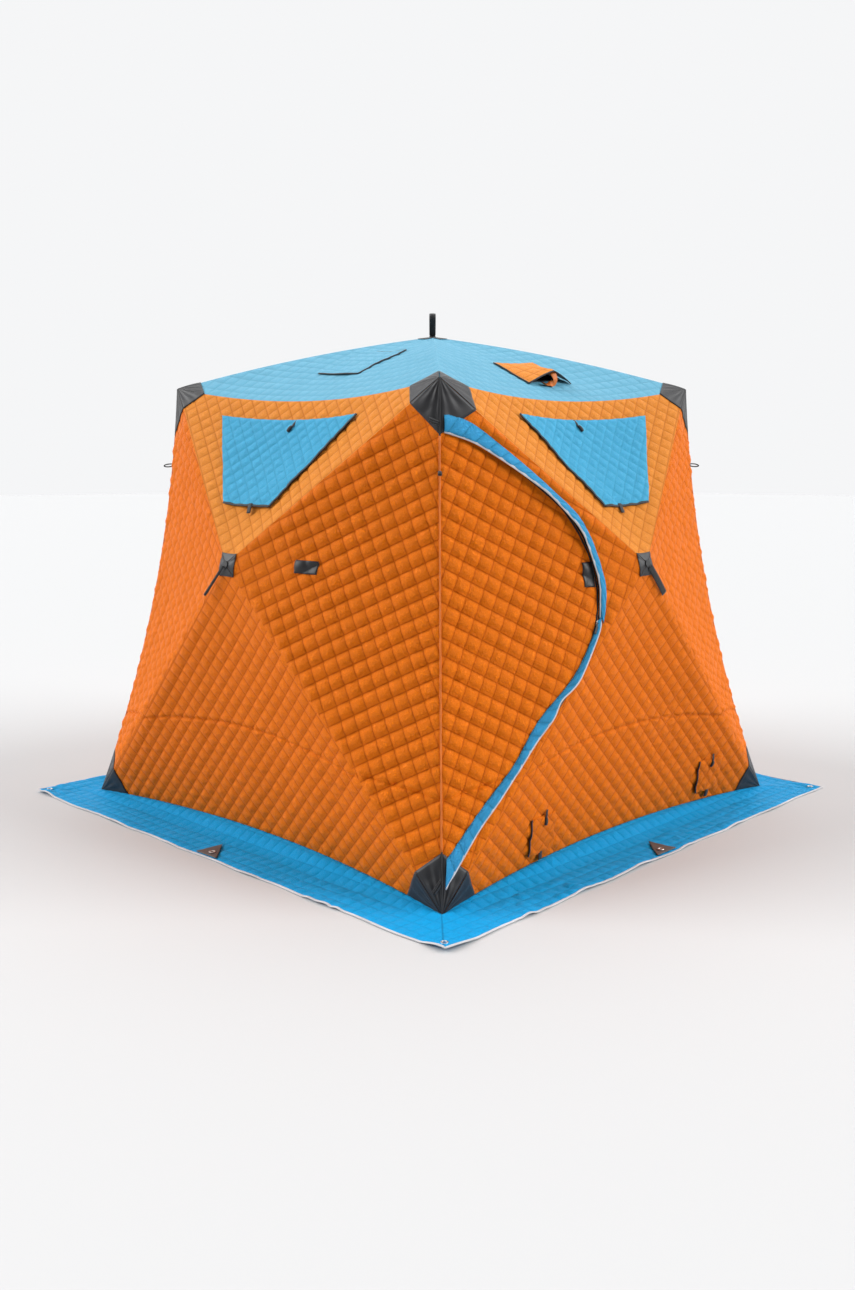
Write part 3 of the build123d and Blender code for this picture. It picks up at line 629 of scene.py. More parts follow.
def strip(name, facet, near, far, near_lift, far_lift, rows, puff, cell, base):
    """A quilted strip between two lines on a facet, lifted along each; also its far edge and its size."""
    count = len(far_lift)
    near, far = smooth_line(near, count), smooth_line(far, count)
    run = np.concatenate(([0], np.cumsum(np.linalg.norm(np.diff((near + far) / 2, axis=0), axis=1))))
    t = np.linspace(0, 1, rows)
    flat = (near[None] * (1 - t[:, None, None]) + far[None] * t[:, None, None]).reshape(-1, 2)
    along = np.tile(run / cell, rows)
    side = np.repeat(t, count)
    cells = np.stack((along + side * 0.8, side * 0.98 + 0.01), 1)
    part = cells[:, 0] - np.floor(cells[:, 0])
    pillow = (1 - (2 * part - 1) ** 2) ** 0.5 * np.sin(math.pi * side) ** 0.5
    lift = near_lift * (1 - side) + np.tile(far_lift, rows) * side + puff * pillow
    lift += base(flat)
    over, normals = facet.place(flat, lift)
    under = over - normals * 0.0022 * (0.4 + 0.6 * np.sin(math.pi * side[:, None]))
    shape = (rows, count, -1)
    cloth = np.stack((np.tile(run, rows), side * 0.05), 1)
    maps = (cloth.reshape(shape), cells.reshape(shape))
    piece = slab(name, over.reshape(shape), under.reshape(shape), "storm_cloth", *maps)
    size = (float(run[-1]), float(np.linalg.norm(far - near, axis=1).mean()))
    return piece, over.reshape(shape)[-1], normals.reshape(shape)[-1], size


def patch(name, facet, corners, material, base, lift=0.0022, steps=(12, 12), thick=0.0014):
    """A sewn-on patch over the cloth, between four corners given in order round it."""
    a, b, c, d = (np.asarray(p, float) for p in corners)
    s, t = np.meshgrid(np.linspace(0, 1, steps[0]), np.linspace(0, 1, steps[1]), indexing="ij")
    s, t = s[..., None], t[..., None]
    flat = ((a * (1 - s) + b * s) * (1 - t) + (d * (1 - s) + c * s) * t).reshape(-1, 2)
    s, t = s.ravel(), t.ravel()
    edge = np.minimum(np.minimum(s, 1 - s) * steps[0], np.minimum(t, 1 - t) * steps[1])
    over, normals = facet.place(flat, lift + base(flat) + 0.0006 * ease(edge, 0, 1.5))
    under = over - normals * thick
    shape = (*steps, 3)
    return slab(name, over.reshape(shape), under.reshape(shape), material, flat.reshape(*steps, 2))


# ---------------------------------------------------------------- materials


def node(tree, kind, inputs=None, **settings):
    """A shader node with its settings, and with values or links at its inputs."""
    made = tree.nodes.new(kind)
    for key, value in settings.items():
        setattr(made, key, value)
    for key, value in (inputs or {}).items():
        if isinstance(value, bpy.types.NodeSocket):
            tree.links.new(value, made.inputs[key])
        else:
            made.inputs[key].default_value = value
    return made


def calc(tree, operation, *values):
    """The output of a maths node."""
    return node(tree, "ShaderNodeMath", dict(enumerate(values)), operation=operation).outputs[0]


def step_map(tree, value, low, high, from_value=0.0, to_value=1.0):
    """A value mapped softly from one range to another."""
    sockets = {"Value": value, "From Min": low, "From Max": high, "To Min": from_value, "To Max": to_value}
    return node(tree, "ShaderNodeMapRange", sockets, interpolation_type="SMOOTHSTEP").outputs["Result"]


def new_group(name, inputs, outputs):
    """An empty shader group with named number sockets; also its input and output nodes."""
    tree = bpy.data.node_groups.new(name, "ShaderNodeTree")
    for label, value in inputs:
        socket = tree.interface.new_socket(label, in_out="INPUT", socket_type="NodeSocketFloat")
        socket.default_value = value
    for label in outputs:
        tree.interface.new_socket(label, in_out="OUTPUT", socket_type="NodeSocketFloat")
    return tree, tree.nodes.new("NodeGroupInput"), tree.nodes.new("NodeGroupOutput")


def quilting_group():
    """Stitch lines with a wide soft band beside each, their threads and the short puckers that the thread pulls
    into the cloth; the cloth materials paint shade with the band and the puckers.
    """
    outputs = ["Crease", "Thread", "Pucker"]
    tree, given, made = new_group("shelter_quilting", [("Crease width", 0.09)], outputs)
    place = node(tree, "ShaderNodeUVMap", uv_map="Quilt").outputs[0]
    split = node(tree, "ShaderNodeSeparateXYZ", {0: place})
    creases, threads = [], []
    for own, other in (("X", "Y"), ("Y", "X")):
        part = calc(tree, "FRACT", calc(tree, "ADD", split.outputs[own], 0.5))
        off = calc(tree, "ABSOLUTE", calc(tree, "SUBTRACT", part, 0.5))
        narrow = step_map(tree, off, 0.0, given.outputs["Crease width"], 1.0, 0.0)
        # The wide band is painted shade beside each stitch line where it is mixed into colour; it also shapes
        # the bump
        wide = step_map(tree, off, 0.0, 0.30, 0.40, 0.0)
        creases.append(calc(tree, "MAXIMUM", narrow, wide))
        stitch = calc(tree, "FRACT", calc(tree, "MULTIPLY", split.outputs[other], 15.0))
        dash = calc(tree, "GREATER_THAN", stitch, 0.3)
        threads.append(calc(tree, "MULTIPLY", calc(tree, "LESS_THAN", off, 0.012), dash))
    closer = node(tree, "ShaderNodeMapping", {"Vector": place, "Scale": (2.2, 2.2, 1.0)}).outputs[0]
    noise = node(tree, "ShaderNodeTexNoise", {"Vector": closer, "Scale": 2.3, "Detail": 4.0, "Distortion": 1.4})
    folds = calc(tree, "ABSOLUTE", calc(tree, "SUBTRACT", noise.outputs[0], 0.5))
    tree.links.new(calc(tree, "MAXIMUM", *creases), made.inputs["Crease"])
    tree.links.new(calc(tree, "MAXIMUM", *threads), made.inputs["Thread"])
    tree.links.new(step_map(tree, folds, 0.0, 0.16, 0.0, 1.0), made.inputs["Pucker"])
    return tree


def weave_group():
    """A fine woven surface with slubs, and the slow unevenness of dyed cloth."""
    tree, given, made = new_group("shelter_weave", [("Threads", 900.0)], ["Weave", "Mottle"])
    place = node(tree, "ShaderNodeUVMap", uv_map="Cloth").outputs[0]
    layers = []
    for scale in ((1.0, 0.12, 1.0), (0.12, 1.0, 1.0)):
        mapped = node(tree, "ShaderNodeMapping", {"Vector": place, "Scale": scale}).outputs[0]
        threads = {"Vector": mapped, "Scale": given.outputs["Threads"], "Detail": 2.0}
        layers.append(node(tree, "ShaderNodeTexNoise", threads).outputs[0])
    slow = node(tree, "ShaderNodeTexNoise", {"Vector": place, "Scale": 5.0, "Detail": 5.0, "Roughness": 0.6})
    tree.links.new(calc(tree, "MAXIMUM", *layers), made.inputs["Weave"])
    tree.links.new(slow.outputs[0], made.inputs["Mottle"])
    return tree


def wear_group():
    """Scuffs and dust for moulded and metal parts."""
    tree, given, made = new_group("shelter_wear", [("Scale", 60.0)], ["Scuff", "Grain"])
    place = node(tree, "ShaderNodeTexCoord").outputs["Object"]
    scuffs = {"Vector": place, "Scale": given.outputs["Scale"], "Detail": 6.0}
    noise = node(tree, "ShaderNodeTexNoise", scuffs)
    grain = node(tree, "ShaderNodeTexNoise", {"Vector": place, "Scale": 1400.0, "Detail": 2.0})
    tree.links.new(step_map(tree, noise.outputs[0], 0.48, 0.72), made.inputs["Scuff"])
    tree.links.new(grain.outputs[0], made.inputs["Grain"])
    return tree


def grouped(tree, name, **values):
    """A node for one of the shared groups, with its inputs set."""
    made = tree.nodes.new("ShaderNodeGroup")
    made.node_tree = bpy.data.node_groups[name]
    for key, value in values.items():
        made.inputs[key.replace("_", " ")].default_value = value
    return made


def link_bump(tree, shader, height, distance, strength):
    """Bumps the shader's surface by a height."""
    bump = node(tree, "ShaderNodeBump", {"Height": height, "Distance": distance, "Strength": strength})
    tree.links.new(bump.outputs[0], shader.inputs["Normal"])


def link_rough(tree, shader, value, low, high, smooth, rough):
    """Roughness between two values as a mask goes from low to high."""
    tree.links.new(step_map(tree, value, low, high, smooth, rough), shader.inputs["Roughness"])


def blank_material(name):
    """A material emptied but for its shader and output, as its node tree and its shader."""
    material = bpy.data.materials.get(name) or bpy.data.materials.new(name)
    material.use_nodes = True
    tree = material.node_tree
    tree.nodes.clear()
    shader = node(tree, "ShaderNodeBsdfPrincipled")
    node(tree, "ShaderNodeOutputMaterial", {"Surface": shader.outputs[0]})
    return tree, shader


def shaded(colour, share):
    """A colour made darker or lighter."""
    return (*(c * share for c in colour[:3]), 1.0)


def mixed(tree, share, first, second):
    """The output of a mix between two colours or colour sockets."""
    made = node(tree, "ShaderNodeMix", {"Factor": share}, data_type="RGBA")
    for index, colour in ((6, first), (7, second)):
        if isinstance(colour, bpy.types.NodeSocket):
            tree.links.new(colour, made.inputs[index])
        else:
            made.inputs[index].default_value = (*colour[:3], 1.0)
    return made.outputs[2]


def quilted_cloth(name, colour, deep, painted_crease_shade=0.68, pucker=0.9):
    """Coated nylon over wadding: stitched creases, puckers, a fine weave and a soft sheen, with painted shade
    in the creases and pucker folds.
    """
    tree, shader = blank_material(name)
    quilting = grouped(tree, "shelter_quilting", Crease_width=0.075)
    weave = grouped(tree, "shelter_weave", Threads=900.0)
    lines, mottle = quilting.outputs["Crease"], weave.outputs["Mottle"]
    # Painted shade: the colour is darkened towards deep in the stitched creases, in the wide band beside them
    # and in the pucker folds
    shade = calc(tree, "MULTIPLY", lines, painted_crease_shade)
    folds = calc(tree, "MULTIPLY", calc(tree, "SUBTRACT", 1.0, quilting.outputs["Pucker"]), 0.22)
    body = mixed(tree, step_map(tree, mottle, 0.3, 0.7, 0.0, 0.35), colour, shaded(colour, 0.9))
    body = mixed(tree, calc(tree, "MAXIMUM", shade, folds), body, deep)
    body = mixed(tree, calc(tree, "MULTIPLY", quilting.outputs["Thread"], 0.35), body, shaded(colour, 1.15))
    tree.links.new(body, shader.inputs["Base Color"])
    rough = step_map(tree, mottle, 0.2, 0.8, 0.40, 0.54)
    tree.links.new(calc(tree, "ADD", rough, calc(tree, "MULTIPLY", lines, 0.12)), shader.inputs["Roughness"])
    height = calc(tree, "SUBTRACT", 1.0, lines)
    for output, share in (
        (quilting.outputs["Pucker"], pucker),
        (quilting.outputs["Thread"], 0.25),
        (weave.outputs["Weave"], 0.10),
    ):
        height = calc(tree, "ADD", height, calc(tree, "MULTIPLY", output, share))
    link_bump(tree, shader, height, 0.0036, 0.8)
    shader.inputs["Sheen Weight"].default_value = 0.02
    shader.inputs["Sheen Roughness"].default_value = 0.4
    shader.inputs["Specular IOR Level"].default_value = 0.13


def cloth_axes(tree):
    """The flat places of a piece of cloth, split into along and across."""
    place = node(tree, "ShaderNodeUVMap", uv_map="Cloth").outputs[0]
    return node(tree, "ShaderNodeSeparateXYZ", {0: place}).outputs


def plain_cloth(name, colour, roughness=0.55, threads=700.0, ribs=0.0, relief=0.0006):
    """Woven tape, binding or patch cloth with a visible thread, optionally ribbed along its length."""
    tree, shader = blank_material(name)
    weave = grouped(tree, "shelter_weave", Threads=threads)
    mottle, height = weave.outputs["Mottle"], weave.outputs["Weave"]
    body = mixed(tree, step_map(tree, mottle, 0.3, 0.7), shaded(colour, 0.82), shaded(colour, 1.18))
    body = mixed(tree, calc(tree, "MULTIPLY", height, 0.35), body, shaded(colour, 0.55))
    tree.links.new(body, shader.inputs["Base Color"])
    link_rough(tree, shader, mottle, 0.2, 0.8, roughness - 0.07, roughness + 0.1)
    if ribs:
        wave = calc(tree, "SINE", calc(tree, "MULTIPLY", cloth_axes(tree)["X"], ribs))
        height = calc(tree, "ADD", height, calc(tree, "MULTIPLY", wave, 0.5))
    link_bump(tree, shader, height, relief, 0.7)
    shader.inputs["Sheen Weight"].default_value = 0.2
    shader.inputs["Sheen Roughness"].default_value = 0.35


def moulded(name, colour, roughness=0.42, metallic=0.0, scale=60.0):
    """Moulded plastic, fibreglass or plated metal with scuffs and a fine grain."""
    tree, shader = blank_material(name)
    wear = grouped(tree, "shelter_wear", Scale=scale)
    scuff = wear.outputs["Scuff"]
    scraped = tuple(min(1, c * 1.6 + 0.03) for c in colour[:3])
    shown = mixed(tree, calc(tree, "MULTIPLY", scuff, 0.5), colour, scraped)
    tree.links.new(shown, shader.inputs["Base Color"])
    link_rough(tree, shader, scuff, 0.0, 1.0, roughness, roughness + 0.25)
    shader.inputs["Metallic"].default_value = metallic
    link_bump(tree, shader, wear.outputs["Grain"], 0.0003, 0.6)


def mesh_netting(name, colour):
    """Fine insect mesh: threads with open holes between them."""
    tree, shader = blank_material(name)
    axes, lines = cloth_axes(tree), []
    for axis in ("X", "Y"):
        part = calc(tree, "FRACT", calc(tree, "MULTIPLY", axes[axis], 500.0))
        lines.append(calc(tree, "LESS_THAN", calc(tree, "ABSOLUTE", calc(tree, "SUBTRACT", part, 0.5)), 0.2))
    mottle = grouped(tree, "shelter_weave", Threads=400.0).outputs["Mottle"]
    tree.links.new(mixed(tree, mottle, shaded(colour, 0.8), shaded(colour, 1.4)), shader.inputs["Base Color"])
    tree.links.new(calc(tree, "MAXIMUM", *lines), shader.inputs["Alpha"])
    shader.inputs["Roughness"].default_value = 0.6


def clear_film(name):
    """Clear flexible window film with slow waves."""
    tree, shader = blank_material(name)
    weave = grouped(tree, "shelter_weave", Threads=3.0)
    mottle = weave.outputs["Mottle"]
    link_rough(tree, shader, mottle, 0.3, 0.7, 0.06, 0.16)
    link_bump(tree, shader, weave.outputs["Weave"], 0.01, 0.5)
    tree.links.new(mixed(tree, mottle, (0.86, 0.9, 0.92), (0.93, 0.95, 0.96)), shader.inputs["Base Color"])
    shader.inputs["Transmission Weight"].default_value = 0.92
    shader.inputs["IOR"].default_value = 1.2


def make_materials():
    """Makes the shared shader groups, then every material."""
    colours = finish()
    quilting_group()
    weave_group()
    wear_group()
    # Each quilted cloth's third colour is painted shade for its creases and pucker folds
    quilted_cloth("wall_cloth", colours.wall, colours.wall_crease_shade)
    # painted light: the lighter copy of the wall cloth for the facets that face up
    quilted_cloth("wall_top_cloth", colours.wall_painted_light, colours.wall_crease_shade, painted_crease_shade=0.6)
    quilted_cloth("roof_cloth", colours.roof, shaded(colours.roof, 0.72), painted_crease_shade=0.45, pucker=0.3)
    quilted_cloth("window_cloth", colours.window, shaded(colours.window, 0.6), painted_crease_shade=0.5, pucker=1.0)
    quilted_cloth("storm_cloth", colours.storm, shaded(colours.storm, 0.5), painted_crease_shade=0.7, pucker=1.1)
    quilted_cloth("skirt_cloth", colours.skirt, shaded(colours.skirt, 0.66), painted_crease_shade=0.4, pucker=0.5)
    plain_cloth("black_patch", colours.black, roughness=0.5, threads=500.0, relief=0.0009)
    # A dark warm brown for the undersides of the vent flaps
    plain_cloth("vent_lining", (0.05, 0.028, 0.02), roughness=0.6, threads=500.0)
    plain_cloth("webbing", shaded(colours.black, 0.8), roughness=0.6, threads=300.0, ribs=2200.0)
    plain_cloth("binding", colours.binding, roughness=0.6, ribs=900.0)
    plain_cloth("wall_piping", shaded(colours.wall, 0.75), roughness=0.5, ribs=1400.0)
    plain_cloth("anchor_cloth", colours.anchor, roughness=0.5, threads=420.0)
    moulded("fibreglass", colours.pole, roughness=0.35, scale=25.0)
    moulded("hub_plastic", colours.plastic, roughness=0.4)
    moulded("fitting_plastic", shaded(colours.plastic, 1.2), roughness=0.45)
    moulded("zip_metal", (0.34, 0.34, 0.36), roughness=0.3, metallic=1.0, scale=200.0)
    moulded("grommet_metal", (0.66, 0.66, 0.66), roughness=0.28, metallic=1.0, scale=150.0)
    mesh_netting("vent_mesh", colours.black)
    clear_film("window_film")


# ---------------------------------------------------------------- add-on


def measure(name, description, value):
    """A length in the add-on's panel."""
    return FloatProperty(name=name, description=description, default=value, unit="LENGTH")


class ShelterSizes(bpy.types.PropertyGroup):
    """Sizes of the shelter's cloth, in metres"""

    base_half: measure("Foot half width", "Centre line to the foot of a wall", 1.077)
    top_half: measure("Top half width", "Centre line to the top of a wall", 0.786)
    corner_height: measure("Corner height", "Top corners above the ground", 1.820)
    foot_height: measure("Foot height", "Bottom corners above the ground", 0.008)
    hub_out: measure("Hub out", "Centre line to a wall hub's cloth", 1.143)
    hub_height: measure("Hub height", "Wall hubs above the ground", 1.136)
    roof_peak: measure("Roof peak", "Cloth over the roof hub above the ground", 2.042)
    skirt_half: measure("Skirt half width", "Centre line to the skirt's edge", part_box("skirt")[1].x)
    side_bow: measure("Corner seam bow", "Pull of a corner seam each way", 0.051)
    top_bow: measure("Top seam bow", "Pull of a top seam inwards", 0.055)
    top_dip: measure("Top seam dip", "Pull of a top seam downwards", 0.065)
    hem_bow: measure("Hem bow", "Pull of the hem inwards", 0.073)
    hem_rise: measure("Hem rise", "Pull of the hem upwards", 0.034)
    roof_dome: measure("Roof dome", "How far a roof ridge bows up", 0.022)
    cloth_thick: measure("Cloth thickness", "Quilted cloth at a stitch", 0.003)
    window_top: measure("Window top", "Window flap's top above the hub", 0.655)
    window_bottom: measure("Window bottom", "Window flap's bottom above the hub", 0.255)
    window_top_half: measure("Window top half", "Half the flap's top edge", 0.411)
    window_bottom_half: measure("Window bottom half", "Half its bottom edge", 0.141)
    door_hinge: measure("Door hinge line", "In from the corner's straight line", 0.075)


def colour(name, description, value):
    """A colour in the add-on's panel."""
    settings = {"subtype": "COLOR", "size": 3, "min": 0, "max": 1}
    return FloatVectorProperty(name=name, description=description, default=value, **settings)


class ShelterColours(bpy.types.PropertyGroup):
    """Colours of the shelter's cloth and fittings"""

    wall: colour("Wall", "Quilted wall cloth", (0.98, 0.222, 0.001))
    # Painted light: a lighter, yellower copy of the wall cloth for the facets that face up, standing in for the
    # overhead lamp and its sheen
    wall_painted_light: colour("Upper wall", "Wall cloth on the facets that face up", (1.0, 0.36, 0.045))
    # Painted shade: the colour the wall cloth is darkened to in its creases and pucker folds
    wall_crease_shade: colour("Wall in folds", "Wall cloth in its stitched creases", (0.46, 0.048, 0.0003))
    roof: colour("Roof", "Roof cloth", (0.145, 0.435, 0.61))
    window: colour("Window flap", "Window flap cloth", (0.085, 0.52, 0.84))
    storm: colour("Storm flap", "Strips over the door's zip", (0.05, 0.42, 0.80))
    skirt: colour("Skirt", "Skirt cloth", (0.0, 0.36, 0.76))
    black: colour("Black patches", "Corner caps, patches and webbing", (0.011, 0.011, 0.0135))
    binding: colour("Binding", "Edge binding of the skirt and storm flaps", (0.60, 0.60, 0.62))
    anchor: colour("Anchor patches", "Triangles at the skirt's edge", (0.075, 0.062, 0.058))
    pole: colour("Poles", "Fibreglass poles", (0.045, 0.045, 0.045))
    plastic: colour("Plastic", "Hubs and fittings", (0.016, 0.016, 0.017))


def cloth_piece(panel_node):
    """Where a sheet stands for one of the frame's plain solids, hides that solid."""
    if panel_node:
        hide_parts(panel_node)


def trapezoid(top, bottom, top_half, bottom_half, middle):
    """Corners of an upright trapezoid, anticlockwise from its lower left."""
    low = [(middle + way * bottom_half, bottom) for way in (-1, 1)]
    return np.array(low + [(middle + way * top_half, top) for way in (1, -1)])


def window_outline(facet, wall, lap=0.0):
    """The flap's corners on the cloth; with a lap, the corners of the film under it."""
    size = shelter()
    top, bottom = size.window_top - lap, size.window_bottom + lap
    halves = (size.window_top_half - lap, size.window_bottom_half - lap / 2)
    return facet.on_cloth(trapezoid(top, bottom, *halves, WINDOW_MIDDLES.get(wall, 0.0)))


def roof_vent_outline(facet, side, lap=0.0):
    """The roof vent flap's corners on the cloth; with a lap, those of the mesh under it."""
    middle, top, tall, top_half, bottom_half = ROOF_VENTS[side]
    return facet.on_cloth(trapezoid(top - lap, top - tall + lap, top_half - lap, bottom_half - lap, middle))


def low_vent_outline(facet, side, lap=0.0):
    """The low vent flap's corners on the cloth; with a lap, those of the mesh under it."""
    half = LOW_VENT_HALF - lap
    return facet.on_cloth(trapezoid(LOW_VENT_TOP - lap, LOW_VENT_BOTTOM + lap, half, half, LOW_VENTS[side]))


def ring_of(outline):
    """An outline as a closed run."""
    return np.vstack((outline, outline[:1]))


def panel_with_holes(panel, holes, name, material):
    """A panel's quilted cloth with bound holes; each hole's film or mesh is added apart."""
    flat, faces, middle = panel_grid(panel, [ring_of(hole) for hole in holes])
    keep = np.ones(len(faces), bool)
    for hole in holes:
        keep &= ~inside(middle, hole)
    flat, faces = part_of(flat, faces, keep)
    piece = quilted_panel(panel, flat, faces, name, material)
    panel.ride(piece)
    cloth_piece(panel.node)


def level(flat):
    """The lift of a cloth that lies flat."""
    return np.zeros(len(flat))


def hole_trim(panel, hole, name, filling):
    """Binding round a hole and the film or mesh across it."""
    line = spaced(ring_of(hole), 161)[:-1]
    path, normals = panel.facet.place(line, panel.rise(line) * 0.6)
    trim = tube(f"{name}_binding", path, 0.012, 0.006, normals, "webbing", sides=8, loop=True)
    panel.ride(trim)
    pane = patch(name, panel.facet, hole, filling, level, lift=-0.001, steps=(24, 16), thick=0.0006)
    return panel.ride(pane)


class SHELTER_OT_stage(bpy.types.Operator):
    """Adds the floor, the lights and the camera"""

    bl_idname = "shelter.add_stage"
    bl_label = "Stage"

    floor_radius, floor_sides = 30.0, 48
    # name: where the light comes from, softness in degrees, strength
    lamps = {
        "overhead": ((0.2, 0.1, 1.0), 70.0, 1.25),
        "left_side": ((-0.68, 0.70, 0.58), 40.0, 3.0),
        "right_side": ((0.62, -0.85, 0.62), 40.0, 3.0),
    }
    lamp_distance = 6
    camera_place = (-3.968, -3.793, 1.625)
    camera_yaw, camera_pitch = math.radians(43.935), math.radians(-9.7515)
    lens, sensor = 34.2, 36.0

    def execute(self, context):
        context.scene.view_settings.view_transform = "Standard"
        self.add_floor()
        self.add_sky(context.scene)
        for name, (way, softness, power) in self.lamps.items():
            lamp = bpy.data.lights.new(name, "SUN")
            lamp.angle, lamp.energy = math.radians(softness), power
            holder = bpy.data.objects.new(name, lamp)
            context.scene.collection.objects.link(holder)
            holder.location = Vector(way) * self.lamp_distance
            holder.rotation_euler = Vector(way).to_track_quat("Z", "Y").to_euler()
        self.add_camera(context.scene)
        return {"FINISHED"}

    def add_floor(self):
        """A wide pale disc of matt paper."""
        angles = np.arange(self.floor_sides) * 2 * math.pi / self.floor_sides
        points = [(self.floor_radius * math.cos(a), self.floor_radius * math.sin(a), 0.0) for a in angles]
        tree, shader = blank_material("studio_floor")
        noise = node(tree, "ShaderNodeTexNoise", {"Scale": 0.6, "Detail": 2.0})
        paper = mixed(tree, noise.outputs[0], (0.515, 0.518, 0.522), (0.53, 0.533, 0.537))
        tree.links.new(paper, shader.inputs["Base Color"])
        shader.inputs["Roughness"].default_value = 0.8
        new_piece("studio_floor", points, [list(range(self.floor_sides))], "studio_floor")

    def add_sky(self, scene):
        """Pale light all round, dimmer from where the camera stands."""
        world = bpy.data.worlds.new("studio")
        world.use_nodes = True
        tree = world.node_tree
        place = node(tree, "ShaderNodeTexCoord").outputs["Generated"]
        ahead = node(tree, "ShaderNodeVectorMath", {0: place, 1: (0.72, 0.69, 0.0)}, operation="DOT_PRODUCT")
        bright = step_map(tree, ahead.outputs["Value"], 0.05, 0.55, 0.13, 0.93)
        tree.links.new(bright, tree.nodes["Background"].inputs["Strength"])
        tree.nodes["Background"].inputs["Color"].default_value = (0.985, 0.99, 1.0, 1.0)
        scene.world = world

    def add_camera(self, scene):
        """The camera, aimed down along one corner of the shelter."""
        eye = bpy.data.cameras.new("camera")
        eye.lens, eye.sensor_width = self.lens, self.sensor
        camera = bpy.data.objects.new("camera", eye)
        scene.collection.objects.link(camera)
        camera.location = self.camera_place
        yaw, pitch = self.camera_yaw, self.camera_pitch
        ahead = Vector((math.cos(yaw) * math.cos(pitch), math.sin(yaw) * math.cos(pitch), math.sin(pitch)))
        camera.rotation_euler = ahead.to_track_quat("-Z", "Y").to_euler()
        scene.camera = camera


class SHELTER_OT_frame(bpy.types.Operator):
    """Gives the poles, hubs, fittings and zip hardware their finishes"""

    bl_idname = "shelter.finish_frame"
    bl_label = "Poles, hubs and fittings"

    finishes = {"_pole": "fibreglass", "_fittings": "fitting_plastic", "zip_slider": "zip_metal"}

    def execute(self, context):
        make_materials()
        for name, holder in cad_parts.items():
            found = [finish for ending, finish in self.finishes.items() if name.endswith(ending)]
            holder.data.materials.clear()
            holder.data.materials.append(bpy.data.materials[(found or ["hub_plastic"])[0]])
        return {"FINISHED"}


class SHELTER_OT_walls(bpy.types.Operator):
    """Makes the quilted panels of the four walls, except the door's"""

    bl_idname = "shelter.add_walls"
    bl_label = "Wall panels"

    def execute(self, context):
        for wall in WALL_TURNS:
            for kind in WALL_KINDS:
                panel = wall_panel(wall, kind)
                if panel.node == "front_left_panel":
                    continue
                name = f"{panel.node}_quilt"
                if kind == "top":
                    hole = window_outline(panel.facet, wall, WINDOW_LAP)
                    # the upper facets take the wall cloth with painted light
                    panel_with_holes(panel, [hole], name, "wall_top_cloth")
                    hole_trim(panel, hole, f"{wall}_window_film", "window_film")
                    continue
                sides = LOW_VENTS if panel.node == "front_bottom_panel" else ()
                holes = [low_vent_outline(panel.facet, side, LOW_VENT_LAP) for side in sides]
                panel_with_holes(panel, holes, name, "wall_cloth")
                for side, hole in zip(sides, holes):
                    hole_trim(panel, hole, f"{side}_low_vent_mesh", "vent_mesh")
        return {"FINISHED"}


class SHELTER_OT_roof(bpy.types.Operator):
    """Makes the four quilted roof panels"""

    bl_idname = "shelter.add_roof"
    bl_label = "Roof panels"

    def execute(self, context):
        for wall in WALL_TURNS:
            panel = roof_panel(wall)
            holes = [roof_vent_outline(panel.facet, wall, WINDOW_LAP)] if wall in ROOF_VENTS else []
            panel_with_holes(panel, holes, f"roof_{wall}_quilt", "roof_cloth")
            for hole in holes:
                hole_trim(panel, hole, f"{wall}_roof_vent_mesh", "vent_mesh")
        return {"FINISHED"}


def hinge_line(facet):
    """The door's hinge line in the panel's plane, from top to bottom, and past both corners."""
    _, top, low = facet.corners
    way = unit(low - top)
    inward = np.array((-way[1], way[0]))
    if inward @ -top < 0:
        inward = -inward
    shift = inward * shelter().door_hinge
    return np.array((top - way * 0.05 + shift, low + way * 0.05 + shift))


def ride_door(piece):
    """Bakes the placement of a piece of the door's cloth into its points."""
    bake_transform(piece)
    return piece


